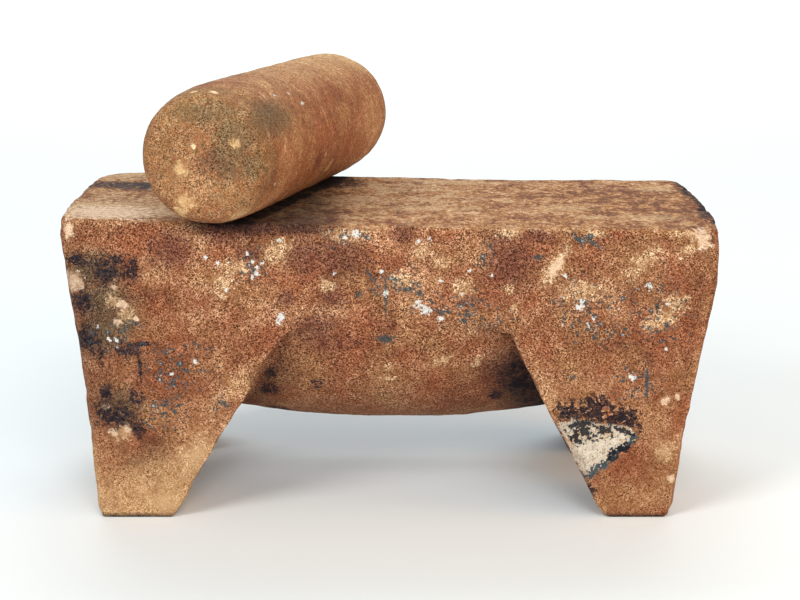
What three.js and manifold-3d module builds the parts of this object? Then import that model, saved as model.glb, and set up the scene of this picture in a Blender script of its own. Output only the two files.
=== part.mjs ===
// A legged grinding slab carved from one block of volcanic stone, with its hand stone lying across the top.
// Millimetres, +Z up. X runs along the slab and Y from its front to its back.
// The origin is on the floor, under the middle of the whole box.

import * as THREE from 'three';
import { mergeVertices } from 'three/addons/utils/BufferGeometryUtils.js';
import Module from 'manifold-3d';

const wasm = await Module();
wasm.setup();

const { clamp, lerp } = THREE.MathUtils;

// Table of the slab
const HALF_LENGTH = 210;
const HALF_DEPTH = 100;
const TOP_LEFT = 200.6; // height of the worn top at the left end, in the middle and at the right end
const TOP_MIDDLE = 195.2;
const TOP_RIGHT = 193;
const TOP_EDGE_RADIUS = 4;

// Ends: they lean out from the feet to the top, and bow a little in plan
// Above its widest height an end comes back in by pullIn per millimetre
const LEFT_END = { foot: 191.8, widest: 210.8, widestHeight: 190, curve: 1.6, bow: 4, pullIn: 0.1 };
const RIGHT_END = { foot: 186, widest: 211.3, widestHeight: 163, curve: 1.35, bow: 6.5, pullIn: 0.03 };
const LEAN_START = 145; // the lean fades in from here to the end

// Upright corners, rounded in plan
const CORNER_RADIUS = { frontLeft: 7, frontRight: 4, backLeft: 33, backRight: 10 };

// Rounded belly under the table
const BELLY_SPRING = 124; // height where it leaves the front and back faces
const BELLY_BOTTOM = 45.5; // lowest point, in the middle
const BELLY_RISE = 9.2; // how much higher its keel is at 100 mm from the middle
const BELLY_PINCH = 0.15; // share by which it is shallower from front to back at 100 mm from the middle
const PINCH_END = 150; // it gets no shallower beyond this distance from the middle

// Four legs with sloping inner faces and flat feet
// foot is the inner foot edge's distance from the middle, flare a leg's widening per millimetre of height,
// and swell how far its inner face stands out half way up
const LEFT_LEGS = { foot: 143, flare: 0.56, swell: 1.5 };
const RIGHT_LEGS = { foot: 141.5, flare: 0.505, swell: 2.4 };
const END_LEGS = { foot: 44, flare: 0.28, swell: 0 };
const FOOT_EDGE_RADIUS = 4;
const CUT_OVERRUN = 10; // how far the hollow's cutting bodies run past the faces that they cut

// Hand stone: a cylinder with rounded ends, lying across the slab
const HAND_LENGTH = 294;
const HAND_RADIUS = 44.4;
// the higher an end's fullness, the flatter its face and the tighter its edge; taper is its share of radius lost
const HAND_FRONT = { fullness: 60, taper: 0.12 };
const HAND_BACK = { fullness: 9.2, taper: 0 };
const HAND_EDGE_POWER = 4;
const HAND_TAPER_POWER = 8;
const HAND_X = -77.4;
const HAND_Y = 11.9;
const HAND_TURN = THREE.MathUtils.degToRad(15.5);
const REST_GAP = 0.3; // clearance between the stones, so that they stay two bodies

// Steps of the meshes
const SIDE_STEPS = 8;
const HAND_SIDES = 36;
const HAND_STEPS = 28;
const BELLY_LENGTH_STEPS = 20;
const BELLY_DEPTH_STEPS = 16;
const LEG_STEPS = 6;
const LENGTH_STOPS = [[0], [174, 6], [206, 3], [208, 1], [209.4, 1], [HALF_LENGTH, 1]];
const DEPTH_STOPS = [[0], [64, 2], [96, 3], [98, 1], [99.4, 1], [HALF_DEPTH, 1]];

// Height of the worn top along the slab: a parabola through the heights of its ends and middle.
function topHeight(x) {
  const along = x / HALF_LENGTH;
  const fall = (TOP_RIGHT - TOP_LEFT) / 2;
  const dish = (TOP_RIGHT + TOP_LEFT) / 2 - TOP_MIDDLE;
  return TOP_MIDDLE + fall * along + dish * along * along;
}

// Drop of a rounded edge at a distance from the rim: a quarter circle.
function edgeDrop(distance, radius) {
  const inside = Math.max(radius - distance, 0);
  return radius - Math.sqrt(radius * radius - inside * inside);
}

function rimDistance(x, y) {
  return Math.min(HALF_LENGTH - Math.abs(x), HALF_DEPTH - Math.abs(y));
}

// Half depth of the belly: flush with the faces in the middle, and set back from them towards the legs.
function bellyDepth(x) {
  const along = Math.min(Math.abs(x), PINCH_END) / 100;
  return HALF_DEPTH * (1 - BELLY_PINCH * along * along);
}

// Underside of the belly: half an ellipse from front to back, with a keel that rises towards the ends.
function bellyHeight(x, y) {
  const keel = BELLY_BOTTOM + BELLY_RISE * (x / 100) ** 2;
  const across = y / bellyDepth(x);
  return BELLY_SPRING - (BELLY_SPRING - keel) * Math.sqrt(Math.max(1 - across * across, 0));
}

function footHeight(x, y) {
  return edgeDrop(rimDistance(x, y), FOOT_EDGE_RADIUS);
}

function tableHeight(x, y) {
  return topHeight(x) - edgeDrop(rimDistance(x, y), TOP_EDGE_RADIUS);
}

// Rounds the four upright corners: in a corner's square, each square ring becomes a quarter circle.
function roundCorner(x, y) {
  const depthSide = y < 0 ? 'front' : 'back';
  const lengthSide = x < 0 ? 'Left' : 'Right';
  const radius = CORNER_RADIUS[depthSide + lengthSide];
  const alongX = Math.max(Math.abs(x) - (HALF_LENGTH - radius), 0);
  const alongY = Math.max(Math.abs(y) - (HALF_DEPTH - radius), 0);
  const reach = Math.hypot(alongX, alongY);
  if (alongX === 0 || alongY === 0) {
    return [x, y];
  }
  const scale = Math.max(alongX, alongY) / reach;
  return [x - Math.sign(x) * alongX * (1 - scale), y - Math.sign(y) * alongY * (1 - scale)];
}

// Moves a point of an end to the end's leaning and bowed outline.
function leanEnd(x, y, z) {
  const end = x < 0 ? LEFT_END : RIGHT_END;
  const share = clamp((Math.abs(x) - LEAN_START) / (HALF_LENGTH - LEAN_START), 0, 1);
  const climb = Math.min(z / end.widestHeight, 1) ** end.curve;
  const pullIn = end.pullIn * Math.max(z - end.widestHeight, 0);
  const bow = end.bow * (1 - (y / HALF_DEPTH) ** 2);
  const reach = lerp(end.foot, end.widest, climb) - pullIn + bow - HALF_LENGTH;
  return x + Math.sign(x) * share * reach;
}

// Mesh lines on one axis: even steps between the stops of one half, on both sides of the middle.
function meshLines(stops) {
  const half = [];
  for (let i = 1; i < stops.length; i += 1) {
    const [start] = stops[i - 1];
    const [end, steps] = stops[i];
    for (let step = 1; step <= steps; step += 1) {
      half.push(lerp(start, end, step / steps));
    }
  }
  return [...half.map((place) => -place).reverse(), 0, ...half];
}

// The mesh line at a place from -1 to 1 on the plain box.
function lineAt(lines, place) {
  return lines[Math.round((place + 1) / 2 * (lines.length - 1))];
}

// A closed geometry as a solid that can be cut, and a solid as a geometry.
function solidOf(geometry) {
  const bare = geometry.clone();
  bare.deleteAttribute('normal');
  bare.deleteAttribute('uv');
  const merged = mergeVertices(bare);
  const vertProperties = merged.getAttribute('position').array;
  const triVerts = new Uint32Array(merged.index.array);
  return new wasm.Manifold(new wasm.Mesh({ numProp: 3, vertProperties, triVerts }));
}

function geometryOf(solid) {
  const mesh = solid.getMesh();
  const geometry = new THREE.BufferGeometry();
  geometry.setAttribute('position', new THREE.BufferAttribute(mesh.vertProperties, 3));
  geometry.setIndex(new THREE.BufferAttribute(mesh.triVerts, 1));
  return geometry;
}

// The uncut block: a divided box whose top, rim and ends follow the functions above.
function blockGeometry() {
  const linesX = meshLines(LENGTH_STOPS);
  const linesY = meshLines(DEPTH_STOPS);
  const geometry = new THREE.BoxGeometry(2, 2, 2, linesX.length - 1, linesY.length - 1, SIDE_STEPS);
  const position = geometry.getAttribute('position');
  for (let i = 0; i < position.count; i += 1) {
    const x = lineAt(linesX, position.getX(i));
    const y = lineAt(linesY, position.getY(i));
    const climb = (position.getZ(i) + 1) / 2;
    const z = lerp(footHeight(x, y), tableHeight(x, y), climb);
    const [planX, planY] = roundCorner(x, y);
    position.setXYZ(i, leanEnd(planX, planY, z), planY, z);
  }
  return geometry;
}

// All the space under the belly: a divided box whose top is the belly's underside.
// Its lines run round the ellipse in even angles, and its two outer strips stand clear of the block.
function underBellyGeometry() {
  const halfRun = HALF_LENGTH + CUT_OVERRUN;
  const geometry = new THREE.BoxGeometry(2, 2, 2, BELLY_LENGTH_STEPS, BELLY_DEPTH_STEPS + 2, 1);
  const position = geometry.getAttribute('position');
  for (let i = 0; i < position.count; i += 1) {
    const x = position.getX(i) * halfRun;
    const step = Math.round((position.getY(i) + 1) / 2 * (BELLY_DEPTH_STEPS + 2)) - 1;
    const angle = Math.PI * clamp(step / BELLY_DEPTH_STEPS, 0, 1);
    const outside = step < 0 || step > BELLY_DEPTH_STEPS;
    const y = -Math.cos(angle) * (outside ? HALF_DEPTH + CUT_OVERRUN : bellyDepth(x));
    const z = position.getZ(i) > 0 ? bellyHeight(x, y) : -CUT_OVERRUN;
    position.setXYZ(i, x, y, z);
  }
  return geometry;
}

// The gap between two pairs of legs: an outline that narrows upwards, carried right through the block.
// Each side closes in evenly by its legs' flare, less a parabola for their swell.
function legGap(lowSide, highSide, run, across, along) {
  const heights = [-CUT_OVERRUN];
  for (let step = 0; step <= LEG_STEPS; step += 1) {
    heights.push(BELLY_SPRING * step / LEG_STEPS);
  }
  heights.push(BELLY_SPRING + CUT_OVERRUN);
  const halfWidth = (legs, height) => {
    const climb = clamp(height / BELLY_SPRING, 0, 1);
    return legs.foot - legs.flare * height - 4 * legs.swell * climb * (1 - climb);
  };
  const outline = new THREE.Shape([
    ...heights.map((height) => new THREE.Vector2(halfWidth(highSide, height), height)),
    ...heights.toReversed().map((height) => new THREE.Vector2(-halfWidth(lowSide, height), height)),
  ]);
  const geometry = new THREE.ExtrudeGeometry(outline, { depth: run, bevelEnabled: false });
  geometry.translate(0, 0, -run / 2);
  const up = new THREE.Vector3(0, 0, 1);
  geometry.applyMatrix4(new THREE.Matrix4().makeBasis(across, up, along));
  return geometry;
}

// The slab: the block, less what is both under the belly and between legs.
function slabGeometry() {
  const alongX = new THREE.Vector3(1, 0, 0);
  const alongY = new THREE.Vector3(0, 1, 0);
  const alongMinusY = new THREE.Vector3(0, -1, 0);
  const depthRun = 2 * (HALF_DEPTH + CUT_OVERRUN);
  const lengthRun = 2 * (HALF_LENGTH + CUT_OVERRUN);
  const leftToRight = legGap(LEFT_LEGS, RIGHT_LEGS, depthRun, alongX, alongMinusY);
  const frontToBack = legGap(END_LEGS, END_LEGS, lengthRun, alongY, alongX);
  const gaps = solidOf(leftToRight).add(solidOf(frontToBack));
  const hollow = solidOf(underBellyGeometry()).intersect(gaps);
  return geometryOf(solidOf(blockGeometry()).subtract(hollow));
}

// The hand stone's outline: full along most of its length, rounding off at both ends.
function handGeometry() {
  const outline = [];
  for (let step = 0; step <= HAND_STEPS; step += 1) {
    const along = Math.sin(Math.PI * (step / HAND_STEPS - 0.5));
    const reach = Math.abs(along);
    const end = along < 0 ? HAND_FRONT : HAND_BACK;
    const edge = Math.max(1 - reach ** end.fullness, 0) ** (1 / HAND_EDGE_POWER);
    const radius = HAND_RADIUS * edge * (1 - end.taper * reach ** HAND_TAPER_POWER);
    outline.push(new THREE.Vector2(radius, along * HAND_LENGTH / 2));
  }
  return new THREE.LatheGeometry(outline, HAND_SIDES);
}

function stoneMesh(name, geometry, color) {
  const material = new THREE.MeshStandardMaterial({ color, roughness: 0.95, metalness: 0 });
  const mesh = new THREE.Mesh(geometry, material);
  mesh.name = name;
  return mesh;
}

// Lays the hand stone on the top: turned in plan, and tilted with the slope under its axis.
function layHandStone(mesh) {
  const halfRun = HAND_LENGTH / 2 * Math.sin(HAND_TURN);
  const slope = (topHeight(HAND_X + halfRun) - topHeight(HAND_X - halfRun)) / HAND_LENGTH;
  mesh.position.set(HAND_X, HAND_Y, topHeight(HAND_X) + HAND_RADIUS + REST_GAP);
  mesh.rotation.set(Math.atan(slope), 0, -HAND_TURN, 'ZXY');
}

const grindingSlab = stoneMesh('grinding_slab', slabGeometry(), '#8f5a38');
const handStone = stoneMesh('hand_stone', handGeometry(), '#8a5f3f');
layHandStone(handStone);

const grindingStone = new THREE.Group();
grindingStone.add(grindingSlab, handStone);

const box = new THREE.Box3().setFromObject(grindingStone, true);
const middle = box.getCenter(new THREE.Vector3());
grindingStone.position.set(-middle.x, -middle.y, -box.min.z);

export default grindingStone;
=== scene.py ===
"""A weathered grinding slab on four legs, with its hand stone lying across the worn top.

Both stones are surfaces worked out with numpy, in metres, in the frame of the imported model.
+X runs along the slab, +Y from its front to its back, +Z up.
"""

import math
from typing import NamedTuple

import bpy
import numpy as np
from bpy.props import FloatProperty, FloatVectorProperty, IntProperty, PointerProperty
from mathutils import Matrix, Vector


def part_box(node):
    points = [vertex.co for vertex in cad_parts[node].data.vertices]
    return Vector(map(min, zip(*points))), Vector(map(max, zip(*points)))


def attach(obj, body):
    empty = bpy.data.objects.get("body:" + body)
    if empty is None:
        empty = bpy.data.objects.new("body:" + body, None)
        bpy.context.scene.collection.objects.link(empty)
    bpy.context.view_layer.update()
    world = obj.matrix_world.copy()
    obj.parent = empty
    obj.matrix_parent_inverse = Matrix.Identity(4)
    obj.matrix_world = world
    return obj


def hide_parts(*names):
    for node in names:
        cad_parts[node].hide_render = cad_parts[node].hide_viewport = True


bl_info = {
    "name": "Weathered grinding stone",
    "version": (1, 0, 0),
    "blender": (4, 5, 0),
    "location": "View3D > Sidebar > Grinding stone",
    "description": "Makes a legged grinding slab, its hand stone and a plain studio around them",
    "category": "Object",
}

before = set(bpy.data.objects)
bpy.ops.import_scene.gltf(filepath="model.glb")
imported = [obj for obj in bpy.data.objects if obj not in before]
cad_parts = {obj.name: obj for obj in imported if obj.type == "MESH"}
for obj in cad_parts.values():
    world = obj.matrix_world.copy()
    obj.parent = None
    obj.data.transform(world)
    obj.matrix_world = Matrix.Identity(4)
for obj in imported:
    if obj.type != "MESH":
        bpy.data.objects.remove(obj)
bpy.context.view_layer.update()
ONLY_BODY = "root"


class End(NamedTuple):
    """A leaning end of the slab.

    Its reach at the foot and where it is widest, that widest height, the power of the curve between them, its
    bow in plan, and how much it comes back in for each metre above its widest height.
    """

    foot: float
    widest: float
    widest_height: float
    curve: float
    bow: float
    pull_in: float


class Legs(NamedTuple):
    """A pair of legs.

    The inner foot edge's distance from the middle, the widening for each metre of height, and how far the
    inner face stands out half way up, below 0 where it is hollow.
    """

    foot: float
    flare: float
    swell: float


# Form of the slab, with its middle at x = 0, y = 0. A pair of values is for the left and the right half.
LEFT_END = End(0.1918, 0.2108, 0.190, 1.3, 0.004, 0.1)
RIGHT_END = End(0.186, 0.2113, 0.157, 1.2, 0.0065, 0.03)
LEAN_START = 0.145
TOP_EDGE_RADIUS = 0.0028
FOOT_EDGE_RADIUS = 0.0014
FOOT_END_RADIUS = (0.006, 0.011)
FLAT_SOLE = 0.008  # lumps and chips fade out below this height
BELLY_EDGE_RADIUS = 0.011
BELLY_EDGE_RUN = 0.030
CORNER_RADIUS = {(-1, -1): 0.007, (1, -1): 0.004, (-1, 1): 0.040, (1, 1): 0.010}
BELLY_RISE = (0.76, 0.62)
BELLY_PINCH = 15.0
PINCH_END = 0.15
LEFT_LEGS = Legs(0.143, 0.60, -0.0005)
RIGHT_LEGS = Legs(0.1415, 0.505, 0.0008)
END_LEGS = Legs(0.044, 0.28, 0.0)
CREASE_BLEND = 0.005
FOOT_BLEND = (0.003, 0.009)

# Where mesh lines crowd, by distance from the middle: (none, full)
SLOPE_START = (0.066, 0.074)
SLOPE_END = (0.142, 0.150)
RIM_START = (0.204, 0.207)
WALL_START = (0.016, 0.022)
WALL_END = (0.044, 0.050)
SLOPE_CROWDING = 0.5
RIM_CROWDING = 3.0
WALL_CROWDING = 1.6
ARC_HALF_DEPTH = 0.1
ARC_HEIGHT = 0.785  # height of the belly's ellipse for each unit of its half depth
ARC_END = 0.9985

# Unevenness of the stone: (size of the bumps, height)
SLAB_UNEVENNESS = ((0.090, 0.0012), (0.026, 0.0006), (0.0085, 0.00035), (0.0035, 0.00018))
HAND_UNEVENNESS = ((0.080, 0.0004), (0.024, 0.00032), (0.0085, 0.00025), (0.0035, 0.00014))
WORN_SHARE = 0.4  # how much of it is left on the worn top
NOISE_SEED = 7
CHIP_SEED = 21
SPECK_SEED = 33


class Edge(NamedTuple):
    """A worn edge: its two ends, and how many small nicks it has lost."""

    start: tuple
    end: tuple
    nicks: int


NICKED_EDGES = (
    Edge((-0.205, -0.100, 0.199), (0.205, -0.100, 0.192), 26),
    Edge((-0.190, 0.100, 0.199), (0.205, 0.100, 0.192), 8),
    Edge((-0.143, -0.100, 0.003), (-0.071, -0.100, 0.122), 12),
    Edge((0.142, -0.100, 0.003), (0.079, -0.100, 0.122), 12),
    Edge((-0.143, 0.100, 0.003), (-0.071, 0.100, 0.122), 8),
    Edge((0.142, 0.100, 0.003), (0.079, 0.100, 0.122), 8),
    Edge((-0.192, -0.099, 0.005), (-0.210, -0.099, 0.195), 5),
    Edge((0.187, -0.099, 0.005), (0.211, -0.099, 0.190), 10),
    Edge((0.211, -0.095, 0.190), (0.211, 0.095, 0.190), 10),
    Edge((-0.211, -0.095, 0.197), (-0.211, 0.070, 0.197), 3),
)


NICK_RADIUS = 0.004
NICK_RADIUS_RANGE = 0.008
NICK_DEPTH = 0.0005
NICK_DEPTH_RANGE = 0.0016
CHIP_ROUGHNESS = 0.35
CHIP_LUMP = 0.006


class Chip(NamedTuple):
    """A larger lost flake: its middle, its radius and its depth."""

    middle: tuple
    radius: float
    depth: float


CHIPS = (
    Chip((0.202, -0.100, 0.188), 0.012, 0.0034),
    Chip((-0.209, -0.099, 0.199), 0.012, 0.0030),
    Chip((-0.152, -0.100, 0.200), 0.010, 0.0016),
    Chip((0.182, -0.100, 0.004), 0.012, 0.0025),
    Chip((-0.187, -0.100, 0.004), 0.010, 0.0020),
    Chip((0.120, -0.100, 0.050), 0.014, 0.0024),
)


class Mark(NamedTuple):
    """A stain on the front face: its middle, its half sizes, and the turn of its longer axis in degrees."""

    x: float
    z: float
    half_x: float
    half_z: float
    turn: float = 0.0


def mark_rows(*rows):
    """Stains on the front face, from rows of their values."""
    return tuple(Mark(*row) for row in rows)


# Stains that show on the front face
DUST_MARKS = mark_rows(
    (0.107, 0.169, 0.013, 0.0045, 57), (0.132, 0.191, 0.006, 0.0025),
    (0.008, 0.160, 0.007, 0.005), (-0.074, 0.177, 0.006, 0.005), (-0.068, 0.183, 0.006, 0.004),
    (-0.027, 0.191, 0.012, 0.005), (-0.040, 0.157, 0.0045, 0.0045), (0.034, 0.172, 0.005, 0.004),
    (0.022, 0.180, 0.005, 0.005), (0.047, 0.156, 0.006, 0.006), (0.163, 0.172, 0.012, 0.005, 43),
    (0.123, 0.153, 0.011, 0.006), (0.184, 0.144, 0.007, 0.006), (0.178, 0.134, 0.007, 0.006),
    (0.169, 0.130, 0.006, 0.004), (0.193, 0.180, 0.009, 0.003, 40),
    (0.188, 0.191, 0.009, 0.0025), (-0.132, 0.042, 0.007, 0.005), (-0.148, 0.011, 0.008, 0.005),
    (-0.126, 0.044, 0.007, 0.013, -35), (0.077, 0.192, 0.007, 0.0035),
    (0.080, 0.142, 0.004, 0.002, 60), (0.076, 0.154, 0.003, 0.003),
    (-0.106, 0.158, 0.006, 0.007), (-0.178, 0.148, 0.004, 0.004), (-0.169, 0.138, 0.005, 0.004),
    (-0.174, 0.059, 0.006, 0.005), (-0.098, 0.168, 0.007, 0.005), (0.181, 0.046, 0.006, 0.006),
)
CREAM_MARKS = mark_rows(
    (0.106, 0.168, 0.008, 0.0026, 57), (-0.2025, 0.160, 0.0050, 0.0064),
    (-0.171, 0.144, 0.0032, 0.0032), (-0.175, 0.132, 0.0030, 0.0026),
    (-0.177, 0.156, 0.002, 0.002), (-0.162, 0.135, 0.0021, 0.0021),
    (-0.186, 0.076, 0.003, 0.0019), (-0.181, 0.059, 0.0026, 0.0026),
    (-0.172, 0.061, 0.0022, 0.0034), (0.187, 0.083, 0.0022, 0.0022),
    (0.180, 0.080, 0.0026, 0.0026), (0.185, 0.027, 0.0026, 0.0026),
    (-0.205, 0.194, 0.0034, 0.0059), (0.2000, 0.1890, 0.0050, 0.0075, 25),
)
LIME_FLECK = 0.0012
LIME_FLECK_PLACES = (
    (-0.091, 0.177), (-0.088, 0.172), (-0.085, 0.169), (-0.082, 0.171), (-0.084, 0.164), (-0.088, 0.163),
    (-0.118, 0.174), (-0.110, 0.172), (-0.071, 0.186), (-0.029, 0.188), (-0.036, 0.165), (-0.004, 0.166),
    (0.033, 0.160), (0.020, 0.186), (0.026, 0.187), (0.052, 0.166), (0.067, 0.164), (0.131, 0.135),
    (0.129, 0.130), (0.179, 0.114), (-0.181, 0.121), (-0.176, 0.121), (-0.140, 0.098), (-0.105, 0.153),
)
LIME_MARKS = mark_rows(
    (-0.021, 0.191, 0.0025, 0.002), (-0.071, 0.135, 0.0019, 0.0035, -20),
    (-0.002, 0.152, 0.0016, 0.002), (0.018, 0.144, 0.0027, 0.0023),
    (0.024, 0.140, 0.0028, 0.0023), (0.032, 0.134, 0.0023, 0.0014, -40),
    (0.112, 0.163, 0.0014, 0.0014), (0.123, 0.142, 0.0030, 0.0017), (0.168, 0.156, 0.002, 0.002),
    (0.157, 0.097, 0.002, 0.002),
    *((x, z, LIME_FLECK, LIME_FLECK) for x, z in LIME_FLECK_PLACES),
)
SLATE_MARKS = mark_rows(
    (-0.0035, 0.152, 0.0012, 0.012), (-0.012, 0.163, 0.0012, 0.005, 30),
    (-0.019, 0.152, 0.0013, 0.004, -40), (0.004, 0.161, 0.004, 0.0013, -25),
    (0.020, 0.152, 0.003, 0.0018, -35), (0.034, 0.139, 0.004, 0.0013, -45),
    (0.050, 0.138, 0.0012, 0.005, -25), (0.096, 0.175, 0.0035, 0.0016),
    (0.121, 0.188, 0.005, 0.0014, -25), (0.130, 0.184, 0.005, 0.0014, -35),
    (0.126, 0.146, 0.004, 0.0016), (0.180, 0.130, 0.0016, 0.0026), (0.117, 0.096, 0.004, 0.0014),
    (0.167, 0.092, 0.0013, 0.011), (-0.106, 0.078, 0.004, 0.0015, -40),
    (-0.003, 0.119, 0.006, 0.0014),
)
VEIN_MARKS = mark_rows(
    (0.004, 0.157, 0.016, 0.012, -30), (0.044, 0.142, 0.018, 0.012),
    (0.064, 0.134, 0.014, 0.012), (0.062, 0.176, 0.006, 0.008), (-0.028, 0.188, 0.014, 0.006),
    (0.126, 0.142, 0.018, 0.016), (0.124, 0.186, 0.014, 0.006), (0.136, 0.124, 0.020, 0.010),
    (0.176, 0.140, 0.018, 0.020), (0.155, 0.148, 0.010, 0.008), (0.160, 0.092, 0.014, 0.014),
    (-0.135, 0.098, 0.020, 0.018), (-0.146, 0.072, 0.014, 0.014), (-0.110, 0.080, 0.006, 0.007),
    (-0.088, 0.170, 0.012, 0.010), (-0.178, 0.126, 0.016, 0.012),
)
# The mark at x = -0.091 along the top front edge, and the two near x = -0.055 below it, are partly painted
# shadow of the overhanging hand stone.
PLUM_AND_SHADOW_MARKS = mark_rows(
    (-0.053, 0.176, 0.011, 0.012), (-0.060, 0.193, 0.020, 0.004), (-0.046, 0.126, 0.014, 0.007),
    (-0.045, 0.120, 0.024, 0.005), (-0.065, 0.148, 0.005, 0.005), (-0.030, 0.176, 0.015, 0.013),
    (-0.037, 0.150, 0.008, 0.008), (0.077, 0.170, 0.015, 0.016), (0.070, 0.188, 0.010, 0.005),
    (0.095, 0.188, 0.012, 0.004), (-0.139, 0.180, 0.013, 0.010), (-0.107, 0.189, 0.011, 0.005),
    (-0.087, 0.178, 0.008, 0.006), (-0.091, 0.193, 0.022, 0.005), (0.010, 0.191, 0.008, 0.006),
)
SOOT_SHARE = 0.74  # how strong the soot of the left end is
SOOT_MARKS = mark_rows(
    (-0.199, 0.174, 0.006, 0.004), (-0.183, 0.167, 0.007, 0.008), (-0.166, 0.166, 0.006, 0.006),
    (-0.170, 0.173, 0.008, 0.004), (-0.199, 0.145, 0.006, 0.006), (-0.195, 0.122, 0.008, 0.008),
    (-0.170, 0.114, 0.006, 0.005), (-0.179, 0.070, 0.013, 0.008), (-0.165, 0.082, 0.005, 0.005),
    (-0.165, 0.060, 0.005, 0.005), (-0.185, 0.084, 0.004, 0.005), (-0.162, 0.107, 0.0014, 0.012),
    (-0.187, 0.111, 0.0013, 0.009), (-0.160, 0.118, 0.009, 0.0013),
)
# Grey-green veil round the soot
VEIL_MARKS = mark_rows(
    (-0.186, 0.166, 0.018, 0.012), (-0.186, 0.146, 0.018, 0.012), (-0.190, 0.124, 0.014, 0.012),
    (-0.174, 0.132, 0.012, 0.008), (-0.176, 0.076, 0.014, 0.012),
)
CRUST_MARKS = mark_rows(
    (0.133, 0.075, 0.010, 0.007), (0.143, 0.066, 0.008, 0.004), (0.119, 0.073, 0.008, 0.006),
    (0.152, 0.069, 0.010, 0.006, -30), (0.132, 0.018, 0.004, 0.003),
)
SCAR_SOOT_MARKS = mark_rows(
    (0.128, 0.061, 0.010, 0.007), (0.122, 0.054, 0.005, 0.005), (0.140, 0.060, 0.008, 0.005),
    (0.153, 0.060, 0.006, 0.002, -20), (0.150, 0.046, 0.008, 0.003, 32),
)

# Lighter and darker areas of the front and the belly. The lighter marks along the legs' inner edges are
# partly a painted highlight where the rounded edges catch the light.
LIGHTER_AND_HIGHLIGHT_MARKS = mark_rows(
    (-0.122, 0.188, 0.014, 0.006), (-0.098, 0.091, 0.020, 0.006, 46),
    (-0.126, 0.046, 0.009, 0.016, -30), (-0.152, 0.014, 0.022, 0.010),
    (0.101, 0.090, 0.006, 0.018, 25), (0.139, 0.156, 0.008, 0.014), (0.130, 0.181, 0.018, 0.010),
    (0.180, 0.176, 0.016, 0.012), (0.060, 0.177, 0.011, 0.009), (0.018, 0.160, 0.016, 0.012),
    (0.004, 0.184, 0.012, 0.007), (-0.036, 0.138, 0.014, 0.006), (0.168, 0.060, 0.010, 0.010),
    (0.170, 0.016, 0.018, 0.010), (-0.150, 0.172, 0.008, 0.010), (-0.187, 0.180, 0.010, 0.006),
)
DARK_MARKS = mark_rows(
    (-0.026, 0.166, 0.022, 0.008), (0.002, 0.133, 0.004, 0.016), (-0.141, 0.147, 0.018, 0.006),
    (-0.146, 0.104, 0.012, 0.018), (-0.155, 0.044, 0.011, 0.013), (0.142, 0.118, 0.026, 0.011),
    (0.027, 0.117, 0.012, 0.007), (-0.064, 0.104, 0.020, 0.016), (-0.012, 0.133, 0.006, 0.011),
    (0.066, 0.092, 0.024, 0.016), (-0.190, 0.128, 0.008, 0.012),
)

# Bleached edges of the legs, partly a painted highlight along their inner edges, and how strong they are
PALE_SHARE = 0.5
PALE_AND_HIGHLIGHT_MARKS = mark_rows(
    (-0.126, 0.046, 0.010, 0.016, -35), (-0.098, 0.090, 0.018, 0.004, 48),
    (0.101, 0.092, 0.004, 0.016, 25),
)

# Stains on the belly, which reach further back
BELLY_DUST_MARKS = mark_rows(
    (0.001, 0.100, 0.013, 0.0009, 14), (-0.002, 0.094, 0.012, 0.0008, 8),
    (0.056, 0.105, 0.009, 0.0018, 10), (0.034, 0.108, 0.009, 0.0010, 12),
)
BELLY_SOOT_MARKS = mark_rows(
    (-0.046, 0.088, 0.0035, 0.0028), (-0.078, 0.093, 0.0032, 0.0030),
    (-0.080, 0.079, 0.0050, 0.0045), (0.070, 0.076, 0.0040, 0.0030),
)
BELLY_WRAP = 0.05

# Bare patch on the right leg: corners of the lost flake, going round
SCAR_CORNERS = (
    (0.102, 0.059),
    (0.119, 0.0675),
    (0.138, 0.065),
    (0.157, 0.062),
    (0.164, 0.053),
    (0.151, 0.042),
    (0.127, 0.019),
)
SCAR_RIM_SIDES = (4, 5)  # sides with a dark band along them
SCAR_RIM_FOOT = 0.016
SCAR_RIM_RISE = 0.008
SCAR_BAND = 0.009
SCAR_DEPTH = 0.0022
SCAR_EDGE = 0.003
SCAR_HOLLOW = (0.3, 0.9)

# How stains lie on the mesh
MARK_WRAP = 0.014
SNAP_DEPTH = 0.02
VEIN_SHARE = 0.6

# Grit: how much it changes red, green and blue, and the darkest it makes them
GRIT_TINT = (0.70, 1.0, 1.40)
GRIT_FLOOR = (0.22, 0.20, 0.18)

# Wear of the slab, with painted highlights on its worn edges and painted shade at its right.
# A pair of values is where it is none and where it is full.
EDGE_WEAR_AND_HIGHLIGHT_REACH = 0.005
FACING_UP = (0.55, 0.95)
NEAR_TOP = (0.15, 0.18)
WORN_RIM = (-0.006, 0.007)
HIDDEN_DEPTH = 0.02
HIDDEN_FACING = 0.5
COARSE_HEIGHT = (-0.04, 0.15)
COARSE_LEGS = (0.10, 0.13)
COARSE_LEG_DROP = 0.06
TONE_CLOUD = 0.12
TONE_SEED = 5
TONE_SHARE = 0.5
EDGE_WEAR_AND_HIGHLIGHT = 0.8
SHADED_SHARE = 0.40
SHADED_RIGHT = (0.03, 0.20)
SHADED_HEIGHT = (0.095, 0.135)
PALE_FOOT = (0.012, 0.068)
PALE_LEFT = (0.02, -0.02)
PALE_RAGGED = 0.016
PALE_LUMP = 0.03
PALE_DARKENED = 0.4

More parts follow.
